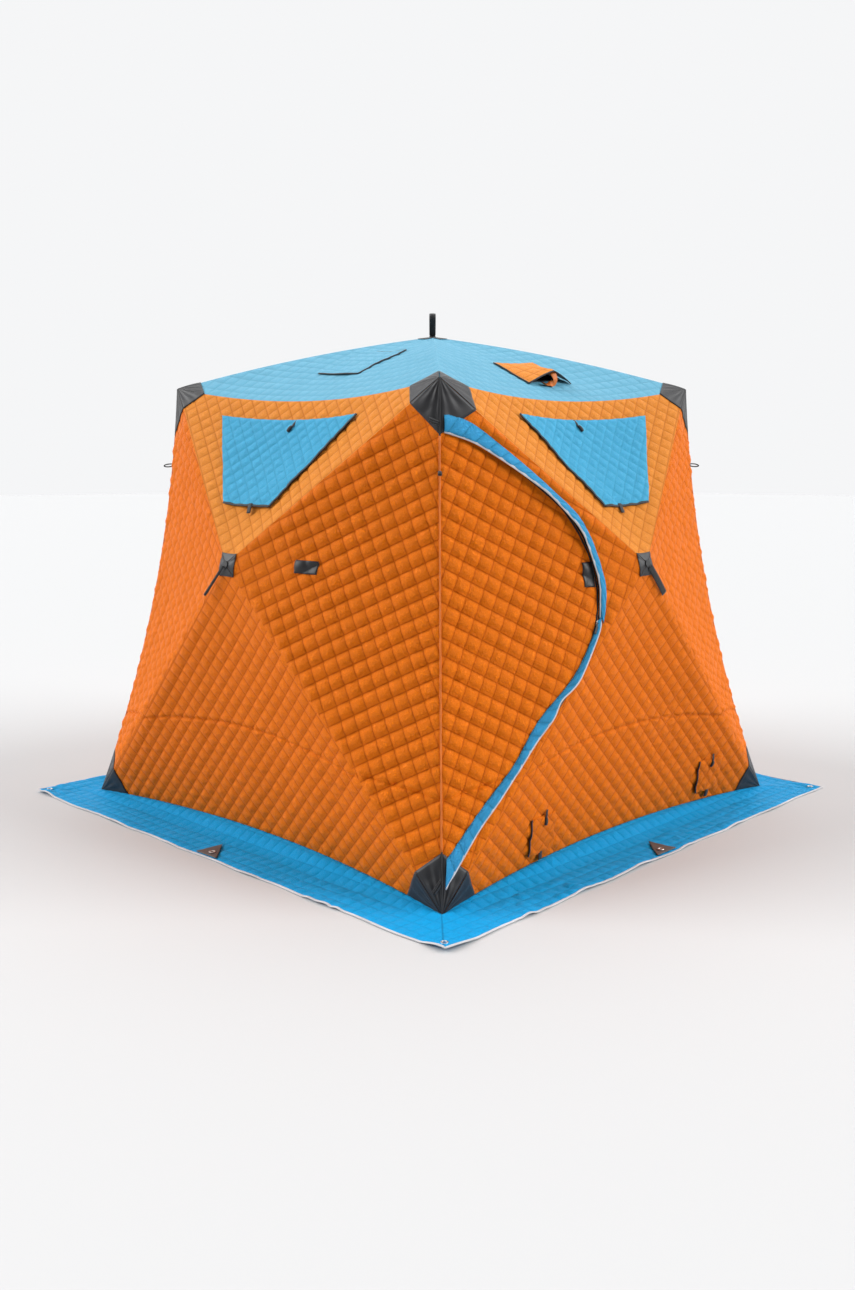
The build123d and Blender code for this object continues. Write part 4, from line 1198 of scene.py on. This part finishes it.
class SHELTER_OT_door(bpy.types.Operator):
    """Makes the door leaf, the cloth round it, the zip and its two storm flaps"""

    bl_idname = "shelter.add_door"
    bl_label = "Door"

    def execute(self, context):
        panel = wall_panel("front", "left")
        facet = panel.facet
        zip_run = smooth_line(facet.on_cloth(ZIP_LINE), 60)
        hinge = hinge_line(facet)
        flat, faces, middle = panel_grid(panel, [zip_run, spaced(hinge, 12)])
        outline = np.vstack((zip_run, hinge[::-1]))
        leaf = inside(middle, outline)
        jamb, leaf = part_of(flat, faces, ~leaf), part_of(flat, faces, leaf)
        around = quilted_panel(panel, *jamb, "front_left_panel_quilt", "wall_cloth")
        panel.ride(around)
        cloth_piece(panel.node)
        door = quilted_panel(panel, *leaf, "door_quilt", "wall_cloth")
        ride_door(door)
        self.add_zip(panel, zip_run)
        self.add_storm_flaps(panel)
        cloth_piece("door")
        hook = patch("door_hook_patch", facet, DOOR_HOOK, "black_patch", panel.rise, steps=(10, 16))
        ride_door(hook)
        return {"FINISHED"}

    def add_zip(self, panel, zip_run):
        """Two zip tapes with a row of coil teeth between them."""
        line = spaced(zip_run, 420)
        ahead = unit(np.gradient(line, axis=0))
        side = np.stack((-ahead[:, 1], ahead[:, 0]), 1)
        teeth = 0.0010 * (np.arange(len(line)) % 2)
        # away from the zip's middle, lift off the cloth, and the share of the teeth there
        profile = ((0.001, 0.0012, 1), (0.003, 0.0042, 1), (0.005, 0.0030, 1), (0.009, 0.0026, 0))
        for name, way in (("zip_tape", 1), ("door_zip_tape", -1)):
            rows = []
            for off, lift, toothed in profile:
                points = line + side * off * way
                lift = lift + teeth * toothed + 0.4 * panel.rise(points)
                rows.append(panel.facet.place(points, lift)[0])
            over = np.stack(rows if way < 0 else rows[::-1])
            tape = slab(name, over, over - panel.facet.normal * 0.0014, "webbing")
            panel.ride(tape) if way > 0 else ride_door(tape)

    def add_storm_flaps(self, panel):
        """The two strips that hide the zip: the upper one sewn to the wall, the lower one to the door."""
        t = np.linspace(0, 1, 150)
        stand = np.sin(math.pi * np.clip(t * 1.02, 0, 1)) ** 0.6
        upper_lift = 0.006 + 0.024 * stand + 0.003 * np.sin(t * 31) * stand
        lower_lift = 0.005 + 0.007 * stand + 0.002 * np.sin(t * 37) * stand
        # name: sewn and free edges, their lifts, rows, puff, cell, share of the panel's own rise, binding, ride
        flaps = {
            "upper_storm_flap": (
                UPPER_FLAP_SEWN, UPPER_FLAP_FREE, 0.0035, upper_lift, 8, 0.0065, 0.058, 0.6, 0.009, panel.ride,
            ),
            "lower_storm_flap": (
                LOWER_FLAP_SEWN, LOWER_FLAP_FREE, 0.0050, lower_lift, 7, 0.0060, 0.062, 0.5, 0.010,
                lambda piece: ride_door(piece),
            ),
        }
        for name, (sewn, free, low, high, rows, puff, cell, share, wide, ride) in flaps.items():

            def base(flat):
                return share * np.maximum(panel.rise(flat), 0)

            flap, edge, normals, size = strip(name, panel.facet, sewn, free, low, high, rows, puff, cell, base)
            ride(flap)
            band = tube(f"{name}_binding", edge - normals * 0.002, wide, 0.0045, normals, "binding")
            ride(band)
            cloth_piece(None)


def cord_lock(name, facet, at, turn, base):
    """A short loop of tape with a toggle on it, lying down the cloth."""
    a = math.radians(turn)
    way = np.array((math.sin(a), -math.cos(a)))
    line = np.asarray(at) + np.linspace(0, 0.046, 12)[:, None] * way
    lift = base(line) + 0.004 + 0.004 * np.sin(np.linspace(0, math.pi, 12))
    path, normals = facet.place(line, lift)
    tape = tube(name + "_tape", path, 0.013, 0.0030, normals, "webbing")
    line = np.asarray(at) + np.linspace(0.030, 0.060, 14)[:, None] * way
    path, normals = facet.place(line, base(line) + 0.009)
    swell = 0.6 + 0.4 * np.sin(np.linspace(0, math.pi, 14)) ** 0.5
    toggle = tube(name + "_toggle", path, 0.017 * swell, 0.013 * swell, normals, "webbing")
    return joined(name, [tape, toggle])


def flap_quilt(name, facet, quilt, outline, material, lift, seed, base, underside=None):
    """A quilted flap over a hole; lift gives how far it stands off at flat points."""
    grid = lattice(quilt, outline)
    flat, faces, _ = flat_mesh(grid)
    edges = []
    for a, b in zip(outline, np.roll(outline, -1, axis=0)):
        way = unit(b - a)
        edges.append((flat - a) @ np.array((-way[1], way[0])))
    fade = ease(np.min(edges, axis=0), 0.0, 0.012)
    rise = lift(flat) + quilt.rise(flat, seed) * fade + np.maximum(0.5 * base(flat), 0)
    over, normals = facet.place(flat, rise + 0.0035)
    under = over - normals * (0.0025 + 0.3 * quilt.rise(flat, seed) * fade)[:, None]
    piece = shell(name, flat, faces, over, under, material, quilt)
    if underside:
        piece.data.materials.append(bpy.data.materials[underside])
        for face in piece.data.polygons[len(faces):2 * len(faces)]:
            face.material_index = 1
    return piece


def edge_tape(name, facet, line, lift, wide, count=60):
    """Binding tape along a flap's edge."""
    points = spaced(line, count)
    path, normals = facet.place(points, lift(points) + 0.0025)
    return tube(name, path, wide, 0.0052, normals, "webbing")


class SHELTER_OT_windows(bpy.types.Operator):
    """Makes the quilted flap over each window, with its black tapes, toggle and pull tab"""

    bl_idname = "shelter.add_windows"
    bl_label = "Window flaps"

    def execute(self, context):
        for index, wall in enumerate(WALL_TURNS):
            panel = wall_panel(wall, "top")
            facet, body = panel.facet, f"{wall}_window_flap"
            outline = window_outline(facet, wall)
            low_left, low_right, top_right, top_left = outline
            loose = 1 if wall == "left" else -1
            free = (low_right, top_right) if loose > 0 else (low_left, top_left)

            def lift(flat):
                across = flat[:, 0] * loose / 0.4
                low = ease(-flat[:, 1], -0.5, -0.25)
                wave = ripple(flat, 90 + index, 0.13, 0.0016) * (0.3 + low)
                wave += ripple(flat, 190 + index, 0.3, 0.002)
                hang = 0.0045 + 0.004 * ease(across, 0.2, 1.0) + 0.003 * low
                return hang + wave * ease(0.66 - flat[:, 1], 0.0, 0.12)

            quilt = Quilt(45.0, 0.047, 0.0050)
            name = f"{body}_quilt"
            flap = flap_quilt(name, facet, quilt, outline, "window_cloth", lift, 20 + index, panel.rise)
            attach(flap, body)
            full = lambda flat: lift(flat) + np.maximum(0.5 * panel.rise(flat), 0)
            tapes = [
                edge_tape("side", facet, np.array(free), full, 0.013),
                edge_tape("low", facet, np.array((low_left, low_right)), full, 0.011),
            ]
            tape = joined(f"{body}_tape", tapes)
            at = (0.025 * loose, top_left[1] - 0.004)
            toggle = cord_lock(f"{wall}_window_toggle", facet, at, 18.0 * -loose, full)
            pull = np.array(((0.0, low_left[1] + 0.007), (0.004 * loose, low_left[1] - 0.033)))
            over = lambda flat: full(flat) + 0.002
            tab = edge_tape(f"{wall}_window_pull", facet, pull, over, 0.022, 12)
            trims = [tape, toggle, tab]
            for trim in trims:
                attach(trim, body)
            cloth_piece(body)
        return {"FINISHED"}


class SHELTER_OT_roof_vents(bpy.types.Operator):
    """Makes the closed roof vent flap and the propped one with its strap"""

    bl_idname = "shelter.add_roof_vents"
    bl_label = "Roof vents"

    def execute(self, context):
        # the front vent's flap takes the wall cloth with painted light
        for wall, colour_name, angle in (("left", "roof_cloth", 0.0), ("front", "wall_top_cloth", 14.0)):
            panel = roof_panel(wall)
            facet, body = panel.facet, f"{wall}_roof_vent"
            outline = roof_vent_outline(facet, wall)
            low_left, low_right, top_right, top_left = outline
            middle, _, tall, top_half, bottom_half = ROOF_VENTS[wall]
            top = top_left[1]
            slope = math.tan(math.radians(angle))

            def lift(flat):
                down = np.maximum(top - flat[:, 1], 0)
                half = top_half + (bottom_half - top_half) * np.clip(down / tall, 0, 1)
                arch = np.clip(1 - np.abs((flat[:, 0] - middle) / half) ** 1.25, 0, 1)
                return 0.0035 + down * slope * arch + ripple(flat, 70 + int(angle), 0.2, 0.0012)

            quilt = Quilt(0.0, 0.052, 0.0026)
            name = f"{body}_quilt"
            flap = flap_quilt(name, facet, quilt, outline, colour_name, lift, 31, panel.rise, "vent_lining")
            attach(flap, body)
            full = lambda flat: lift(flat) + np.maximum(0.5 * panel.rise(flat), 0) - 0.001
            near = (low_right, top_right) if wall == "left" else (low_left, top_left)
            tapes = [
                edge_tape("side", facet, np.array(near), full, 0.009),
                edge_tape("low", facet, np.array((low_left, low_right)), full, 0.008),
            ]
            if wall == "left":
                upper = np.array((top_left * 0.6 + top_right * 0.4, top_right))
                tapes.append(edge_tape("upper", facet, upper, full, 0.006))
            tape = joined(f"{body}_tape", tapes)
            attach(tape, body)
            if angle:
                self.add_curl(facet, np.array((middle, low_left[1])), tall * slope)
            cloth_piece(body)
        return {"FINISHED"}

    def add_curl(self, facet, at, peak):
        """The flap's prop strap: down from its lower edge, then curled along the roof."""
        # across, up the roof and off it
        places = [
            (0.000, 0.030, peak * 0.93),
            (0.004, 0.006, peak * 0.90),
            (0.010, -0.010, peak * 0.60),
            (0.006, -0.014, peak * 0.28),
            (-0.012, -0.013, 0.010),
            (-0.036, -0.010, 0.0055),
            (-0.054, -0.006, 0.012),
        ]
        run = smooth_line(places, 44)
        path, _ = facet.place(at + run[:, :2], run[:, 2])
        lying = ease(np.linspace(0, 1, len(run)), 0.5, 0.8)[:, None]
        normals = unit(-facet.up * (1 - lying) + facet.normal * lying)
        curl = tube("front_roof_vent_strap", path, 0.028, 0.0032, normals, "wall_piping", sides=12)
        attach(curl, "front_roof_vent")
        return curl


class SHELTER_OT_low_vents(bpy.types.Operator):
    """Makes the two small flapped vents near the front hem"""

    bl_idname = "shelter.add_low_vents"
    bl_label = "Low vents"

    def execute(self, context):
        panel = wall_panel("front", "bottom")
        facet = panel.facet
        for index, side in enumerate(LOW_VENTS):
            body = f"{side}_low_vent"
            outline = low_vent_outline(facet, side)

            def lift(flat):
                down = (outline[2, 1] - flat[:, 1]) / LOW_VENT_TALL
                return 0.004 + 0.005 * down + ripple(flat, 40 + index, 0.09, 0.0016) * down

            quilt = Quilt(47.0, 0.044, 0.0050)
            name, seed = f"{body}_quilt", 44 + index
            flap = flap_quilt(name, facet, quilt, outline, "wall_cloth", lift, seed, panel.rise, "vent_lining")
            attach(flap, body)
            full = lambda flat: lift(flat) + np.maximum(0.5 * panel.rise(flat), 0)
            tape = edge_tape(f"{body}_tape", facet, outline[[3, 0]], full, 0.008)
            top_middle = (outline[2] + outline[3]) / 2
            low_middle = (outline[0] + outline[1]) / 2
            toggle = cord_lock(f"{body}_toggle", facet, top_middle + (0.012, 0.022), -8.0, full)
            pull = np.array((low_middle + (0, 0.006), low_middle - (0, 0.030)))
            tab = edge_tape(f"{body}_pull", facet, pull, full, 0.022, 12)
            trims = [tape, toggle, tab]
            for trim in trims:
                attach(trim, body)
            cloth_piece(body)
        return {"FINISHED"}


def cap_patch(name, panel, end, reach):
    """One panel's share of a corner cap, from the corner to a line between its seam and its ridge."""
    facet = panel.facet
    corner, other = facet.corners[1 + end], facet.corners[2 - end]
    on_seam, on_ridge = reach
    steps = 16
    seam_end = corner + unit(other - corner) * on_seam
    ridge_end = corner + unit(-corner) * on_ridge
    s, t = np.meshgrid(np.linspace(0, 1, steps), np.linspace(0, 1, steps), indexing="ij")
    s, t = s[..., None], t[..., None]
    flat = (corner + ((seam_end - corner) * (1 - t) + (ridge_end - corner) * t) * s).reshape(-1, 2)
    out = s.ravel()
    folds = 0.0012 * (1 + np.sin(t.ravel() * 17 + panel.seed)) * out * (1 - out) * 4
    over, normals = facet.place(flat, 0.0030 + np.maximum(panel.rise(flat), 0) + folds)
    under = over - normals * 0.0016
    shape = (steps, steps, -1)
    grids = [over.reshape(shape), under.reshape(shape), flat.reshape(shape)]
    if end == 0:
        grids = [g[:, ::-1] for g in grids]
    return slab(name, grids[0], grids[1], "black_patch", grids[2])


def hub_patch(name, panel):
    """One panel's share of the square over its hub."""
    a, b = (way / max(abs(way)) * HUB_PATCH_HALF for way in panel.facet.corners[1:])
    corners = [(a + b) * 0.002, a, (a + b) / 2, b]
    return patch(name, panel.facet, corners, "black_patch", panel.rise, lift=0.0026, steps=(14, 14))


class SHELTER_OT_patches(bpy.types.Operator):
    """Makes the black caps over the corners and the square patches over the hubs"""

    bl_idname = "shelter.add_patches"
    bl_label = "Caps and hub patches"

    def execute(self, context):
        panels = [wall_panel(wall, kind) for wall in WALL_TURNS for kind in WALL_KINDS]
        panels += [roof_panel(wall) for wall in WALL_TURNS]
        for panel in panels:
            reaches = [WIDE_CAPS.get((panel.node, end), CAPS[panel.kind][end]) for end in (0, 1)]
            pieces = [cap_patch(f"cap{end}", panel, end, reaches[end]) for end in (0, 1)]
            pieces.append(hub_patch("over_hub", panel))
            trim = joined(f"{panel.node}_patches", pieces)
            panel.ride(trim)
        panel = wall_panel("left", "right")
        hook = patch("wall_hook_patch", panel.facet, WALL_HOOK, "black_patch", panel.rise, steps=(16, 10))
        panel.ride(hook)
        return {"FINISHED"}


class SHELTER_OT_webbing(bpy.types.Operator):
    """Makes the pull straps, the guy loops, the roof loop and the piping of the corner seams"""

    bl_idname = "shelter.add_webbing"
    bl_label = "Straps, loops and piping"

    def execute(self, context):
        for wall, (start, end) in STRAP_ENDS.items():
            panel = wall_panel(wall, "bottom")
            if wall == "left":
                strap = self.eyed_strap(panel, start, end)
            else:
                strap = self.flat_strap(wall, panel, start, end)
            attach(strap, panel.node)
            self.add_guy_loop(wall)
            self.add_piping(wall)
        self.add_roof_loop()
        return {"FINISHED"}

    def flat_strap(self, wall, panel, start, end):
        """A single strap that bows a little off the cloth."""
        line = spaced(np.array((start, end)), 30)
        bow = 0.004 * np.sin(np.linspace(0, 3.0, 30))
        lift = 0.008 + 0.5 * np.maximum(panel.rise(line), 0) + bow
        path, normals = panel.facet.place(line, lift)
        return tube(f"{wall}_pull_strap", path, 0.026, 0.0038, normals, "webbing", sides=12)

    def eyed_strap(self, panel, start, end):
        """A doubled strap whose far end opens into an eye."""
        start, end = np.array(start), np.array(end)
        way = unit(end - start)
        side = np.array((-way[1], way[0]))
        long = np.linalg.norm(end - start)
        t = np.linspace(0, 2 * math.pi, 90)
        along = (1 - np.cos(t)) / 2
        open_by = 0.006 + 0.016 * ease(along, 0.45, 0.85) * np.sqrt(np.clip(1 - along, 0, 1) * 4).clip(0, 1)
        off = np.sin(t) * open_by / np.maximum(np.abs(np.sin(t)), 0.35)
        flat = start + way * (along * long)[:, None] + side * off[:, None]
        lift = 0.009 + 0.5 * np.maximum(panel.rise(flat), 0) + 0.012 * along
        path, normals = panel.facet.place(flat, lift)
        return tube("left_pull_strap", path[:-1], 0.011, 0.0050, normals[:-1], "webbing", sides=10, loop=True)

    def add_guy_loop(self, wall):
        """A loop of narrow webbing that sticks out of the corner seam."""
        facet = facet_of("left", WALL_TURNS[wall])
        size = shelter()
        share = (size.corner_height - GUY_LOOP_HEIGHT) / (size.corner_height - size.foot_height)
        at = facet.left + (facet.right - facet.left) * share + facet.pull * 4 * share * (1 - share)
        out = unit(at * (1, 1, 0))
        t = np.linspace(0, 2 * math.pi, 28)[:-1]
        reach, hang = 1 - np.cos(t), np.sin(t) * 0.006
        path = at + out * (reach * 0.022 - 0.003)[:, None] + UP * (hang - reach * 0.002)[:, None]
        normals = np.cross(unit(np.gradient(path, axis=0)), np.cross(out, UP))
        loop = tube(f"{wall}_guy_loop", path, 0.014, 0.0050, normals, "webbing", sides=8, loop=True)
        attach(loop, "root")

    def add_piping(self, wall):
        """A narrow folded seam down the corner, black where the caps are."""
        facet = facet_of("left", WALL_TURNS[wall])
        for name, low, high, material, slot in (
            ("corner_piping", 0.110, 0.890, "wall_piping", "wall_cloth"),
            ("top_cap_piping", 0.0, 0.111, "webbing", "black_patch"),
            ("low_cap_piping", 0.889, 1.0, "webbing", "black_patch"),
        ):
            s = np.linspace(low, high, 90)[:, None]
            path = facet.left + (facet.right - facet.left) * s + facet.pull * 4 * s * (1 - s)
            out = unit(path * (1, 1, 0))
            piping = tube(f"{wall}_{name}", path + out * 0.0005, 0.007, 0.010, out, material, sides=8)
            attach(piping, "root")

    def add_roof_loop(self):
        """The webbing loop that stands on the roof hub, sewn over its moulded core."""
        radius, thick = 0.024, 0.0062
        base = shelter().roof_peak + 0.0035
        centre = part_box("roof_hub")[1].z - radius
        start = math.asin(radius / (centre - base))
        angles = np.linspace(-start, math.pi + start, 40)
        across = unit((1.0, 1.0, 0.0))
        reach = radius - 0.0015
        ring = [across * reach * math.cos(a) + UP * (centre + reach * math.sin(a)) for a in angles]
        foot = UP * (base + 0.004)
        left = [foot * (1 - t) + ring[0] * t for t in np.linspace(0.04, 0.95, 14)]
        right = [ring[-1] * (1 - t) + foot * t for t in np.linspace(0.05, 0.96, 14)]
        path = np.array(left + ring + right)
        ahead = unit(np.gradient(path, axis=0))
        side = unit((1.0, -1.0, 0.0))
        loop = tube("roof_loop", path, 0.0275, thick, np.cross(side, ahead), "webbing", sides=14)
        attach(loop, "roof_hub")


class SHELTER_OT_skirt(bpy.types.Operator):
    """Makes the skirt on the ground, its edge binding, the anchor patches and the grommets"""

    bl_idname = "shelter.add_skirt"
    bl_label = "Skirt"

    rows = 31
    columns = 250

    def rise(self, points, out):
        """How the skirt lies: on the ground but for low swells, lifted edges and a few creases."""
        plan = points[:, :2]
        swell = np.maximum(ripple(plan, 5, 0.55, 0.0035), -0.002) * ease(out, 0.25, 0.7)
        edge = np.maximum(ripple(plan, 8, 0.30, 0.0075) - 0.0015, 0) * ease(out, 0.72, 1.0)
        crumple = np.abs(ripple(plan, 11, 0.11, 0.0042)) * ease(ripple(plan, 12, 0.8, 1.0), 0.2, 1.2)
        return swell + edge + crumple * ease(out, 0.1, 0.4)

    def execute(self, context):
        size = shelter()
        base, half = size.base_half, size.skirt_half
        sides, cells, cloth = [], [], []
        t = np.linspace(0, 1, self.rows)[:, None]
        for index, turn in enumerate(WALL_TURNS.values()):
            s = np.linspace(0, 1, self.columns, endpoint=False)[None]
            bow = 4 * s * (1 - s)
            x_in, y_in = -base + 2 * base * s, -base + size.hem_bow * bow
            z_in = size.foot_height + 0.004 + size.hem_rise * bow
            out = half - 0.006 + 0.004 * np.sin(s * 40 + index)
            x_out, y_out = -out + 2 * out * s, -out
            x, y = x_in * (1 - t) + x_out * t, y_in * (1 - t) + y_out * t
            drop = 1 - ease(t, 0.0, 0.40)
            z = 0.0042 * (1 - drop) + z_in * drop
            points = np.stack((x, y, np.broadcast_to(z, x.shape)), -1)
            points = turned(points.reshape(-1, 3), turn).reshape(points.shape)
            sides.append(points)
            cells.append(np.stack((x / SKIRT_CELL + index * 100, (y + half) / SKIRT_CELL), -1))
            cloth.append(np.stack((x + index * 3, y), -1))
        grid, cells, cloth = (np.concatenate(x, axis=1) for x in (sides, cells, cloth))
        flat = grid.reshape(-1, 3)
        out = np.repeat(t, grid.shape[1])
        part = cells.reshape(-1, 2)
        part = part - np.floor(part)
        pillow = np.prod(1 - (2 * part - 1) ** 2, axis=1) ** 0.55 * 0.0034
        fade = ease(out, 0.0, 0.05) * ease(1 - out, 0.0, 0.05)
        lift = pillow * fade + self.rise(flat, out)
        top = flat + UP * lift[:, None]
        under = np.column_stack((flat[:, :2], np.maximum(top[:, 2] - 0.0030 - pillow * 0.5, 0.0008)))
        skirt = self.ring("skirt_quilt", top, under, cells, cloth)
        edge = np.column_stack((grid[-1, :, :2], top.reshape(grid.shape)[-1, :, 2]))
        edge[:, 2] = np.maximum(edge[:, 2] - 0.0012, 0.0034)
        band = tube("skirt_binding", edge, 0.011, 0.0052, UP, "binding", sides=8, loop=True)
        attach(band, "root")
        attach(skirt, "root")
        trims = [band, *self.add_anchors()]
        cloth_piece("skirt")
        return {"FINISHED"}

    def ring(self, name, top, under, cells, cloth):
        """A closed sheet whose columns run right round."""
        rows, columns = self.rows, cells.shape[1]
        faces = []
        for i in range(rows - 1):
            for j in range(columns):
                k = (j + 1) % columns
                faces.append([i * columns + j, (i + 1) * columns + j, (i + 1) * columns + k, i * columns + k])
        maps = [np.tile(m.reshape(-1, 2), (2, 1)) for m in (cloth, cells)]
        return new_piece(name, np.vstack((top, under)), closed(faces, len(top)), "skirt_cloth", *maps)

    def add_anchors(self):
        """A dark triangle in the middle of each side, and a grommet there and at each corner."""
        half = shelter().skirt_half
        patches, rings = [], []
        for index, turn in enumerate(WALL_TURNS.values()):
            tip = -0.052 if index % 2 else 0.050
            a, b, c = (-0.066, -half + 0.014), (0.066, -half + 0.014), (tip, -half + 0.132)
            s, t = np.meshgrid(np.linspace(0, 1, 14), np.linspace(0, 1, 14), indexing="ij")
            s, t = s[..., None], t[..., None]
            flat = (np.array(a) * (1 - s) + np.array(b) * s) * (1 - t) + np.array(c) * t
            flat = flat.reshape(-1, 2)
            points = turned(np.column_stack((flat, np.zeros(len(flat)))), turn)
            out = np.clip((-flat[:, 1] - 1.05) / (half - 1.05), 0, 1)
            folds = 0.003 * np.abs(np.sin(flat[:, 0] * 40)) * s.ravel() * t.ravel()
            points[:, 2] = 0.0115 + self.rise(points, out) + folds
            over = points.reshape(14, 14, 3)
            patches.append(slab(f"anchor{index}", over, over - UP * 0.0016, "anchor_cloth"))
            for x, y, high in ((0.0, -half + 0.042, 0.0135), (-half + 0.042, -half + 0.042, 0.0065)):
                place = turned(np.array((x, y, 0.0)), turn)
                place[2] = high + self.rise(place[None], np.array([0.85]))[0]
                rings.append(lathe(f"grommet{len(rings)}", GROMMET_PROFILE, place, "grommet_metal"))
        anchors, rings = joined("anchor_patches", patches), joined("grommets", rings)
        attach(anchors, "root")
        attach(rings, "root")
        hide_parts("skirt_anchors")
        return anchors, rings


class SHELTER_PT_panel(bpy.types.Panel):
    """Lists the shelter's operators and settings"""

    bl_label = "Ice fishing shelter"
    bl_space_type = "VIEW_3D"
    bl_region_type = "UI"
    bl_category = "Shelter"

    def draw(self, context):
        for operator in OPERATORS:
            self.layout.operator(operator.bl_idname)
        for group in (context.scene.shelter_sizes, context.scene.shelter_colours):
            for name in group.__annotations__:
                self.layout.prop(group, name)


OPERATORS = (
    SHELTER_OT_stage,
    SHELTER_OT_frame,
    SHELTER_OT_walls,
    SHELTER_OT_roof,
    SHELTER_OT_door,
    SHELTER_OT_windows,
    SHELTER_OT_roof_vents,
    SHELTER_OT_low_vents,
    SHELTER_OT_patches,
    SHELTER_OT_webbing,
    SHELTER_OT_skirt,
)
CLASSES = (ShelterSizes, ShelterColours, *OPERATORS, SHELTER_PT_panel)


def register():
    for made in CLASSES:
        bpy.utils.register_class(made)
    bpy.types.Scene.shelter_sizes = PointerProperty(type=ShelterSizes)
    bpy.types.Scene.shelter_colours = PointerProperty(type=ShelterColours)


def unregister():
    del bpy.types.Scene.shelter_sizes, bpy.types.Scene.shelter_colours
    for made in reversed(CLASSES):
        bpy.utils.unregister_class(made)


def main():
    register()
    for operator in OPERATORS:
        area, name = operator.bl_idname.split(".")
        getattr(getattr(bpy.ops, area), name)()


if __name__ == "__main__":
    main()
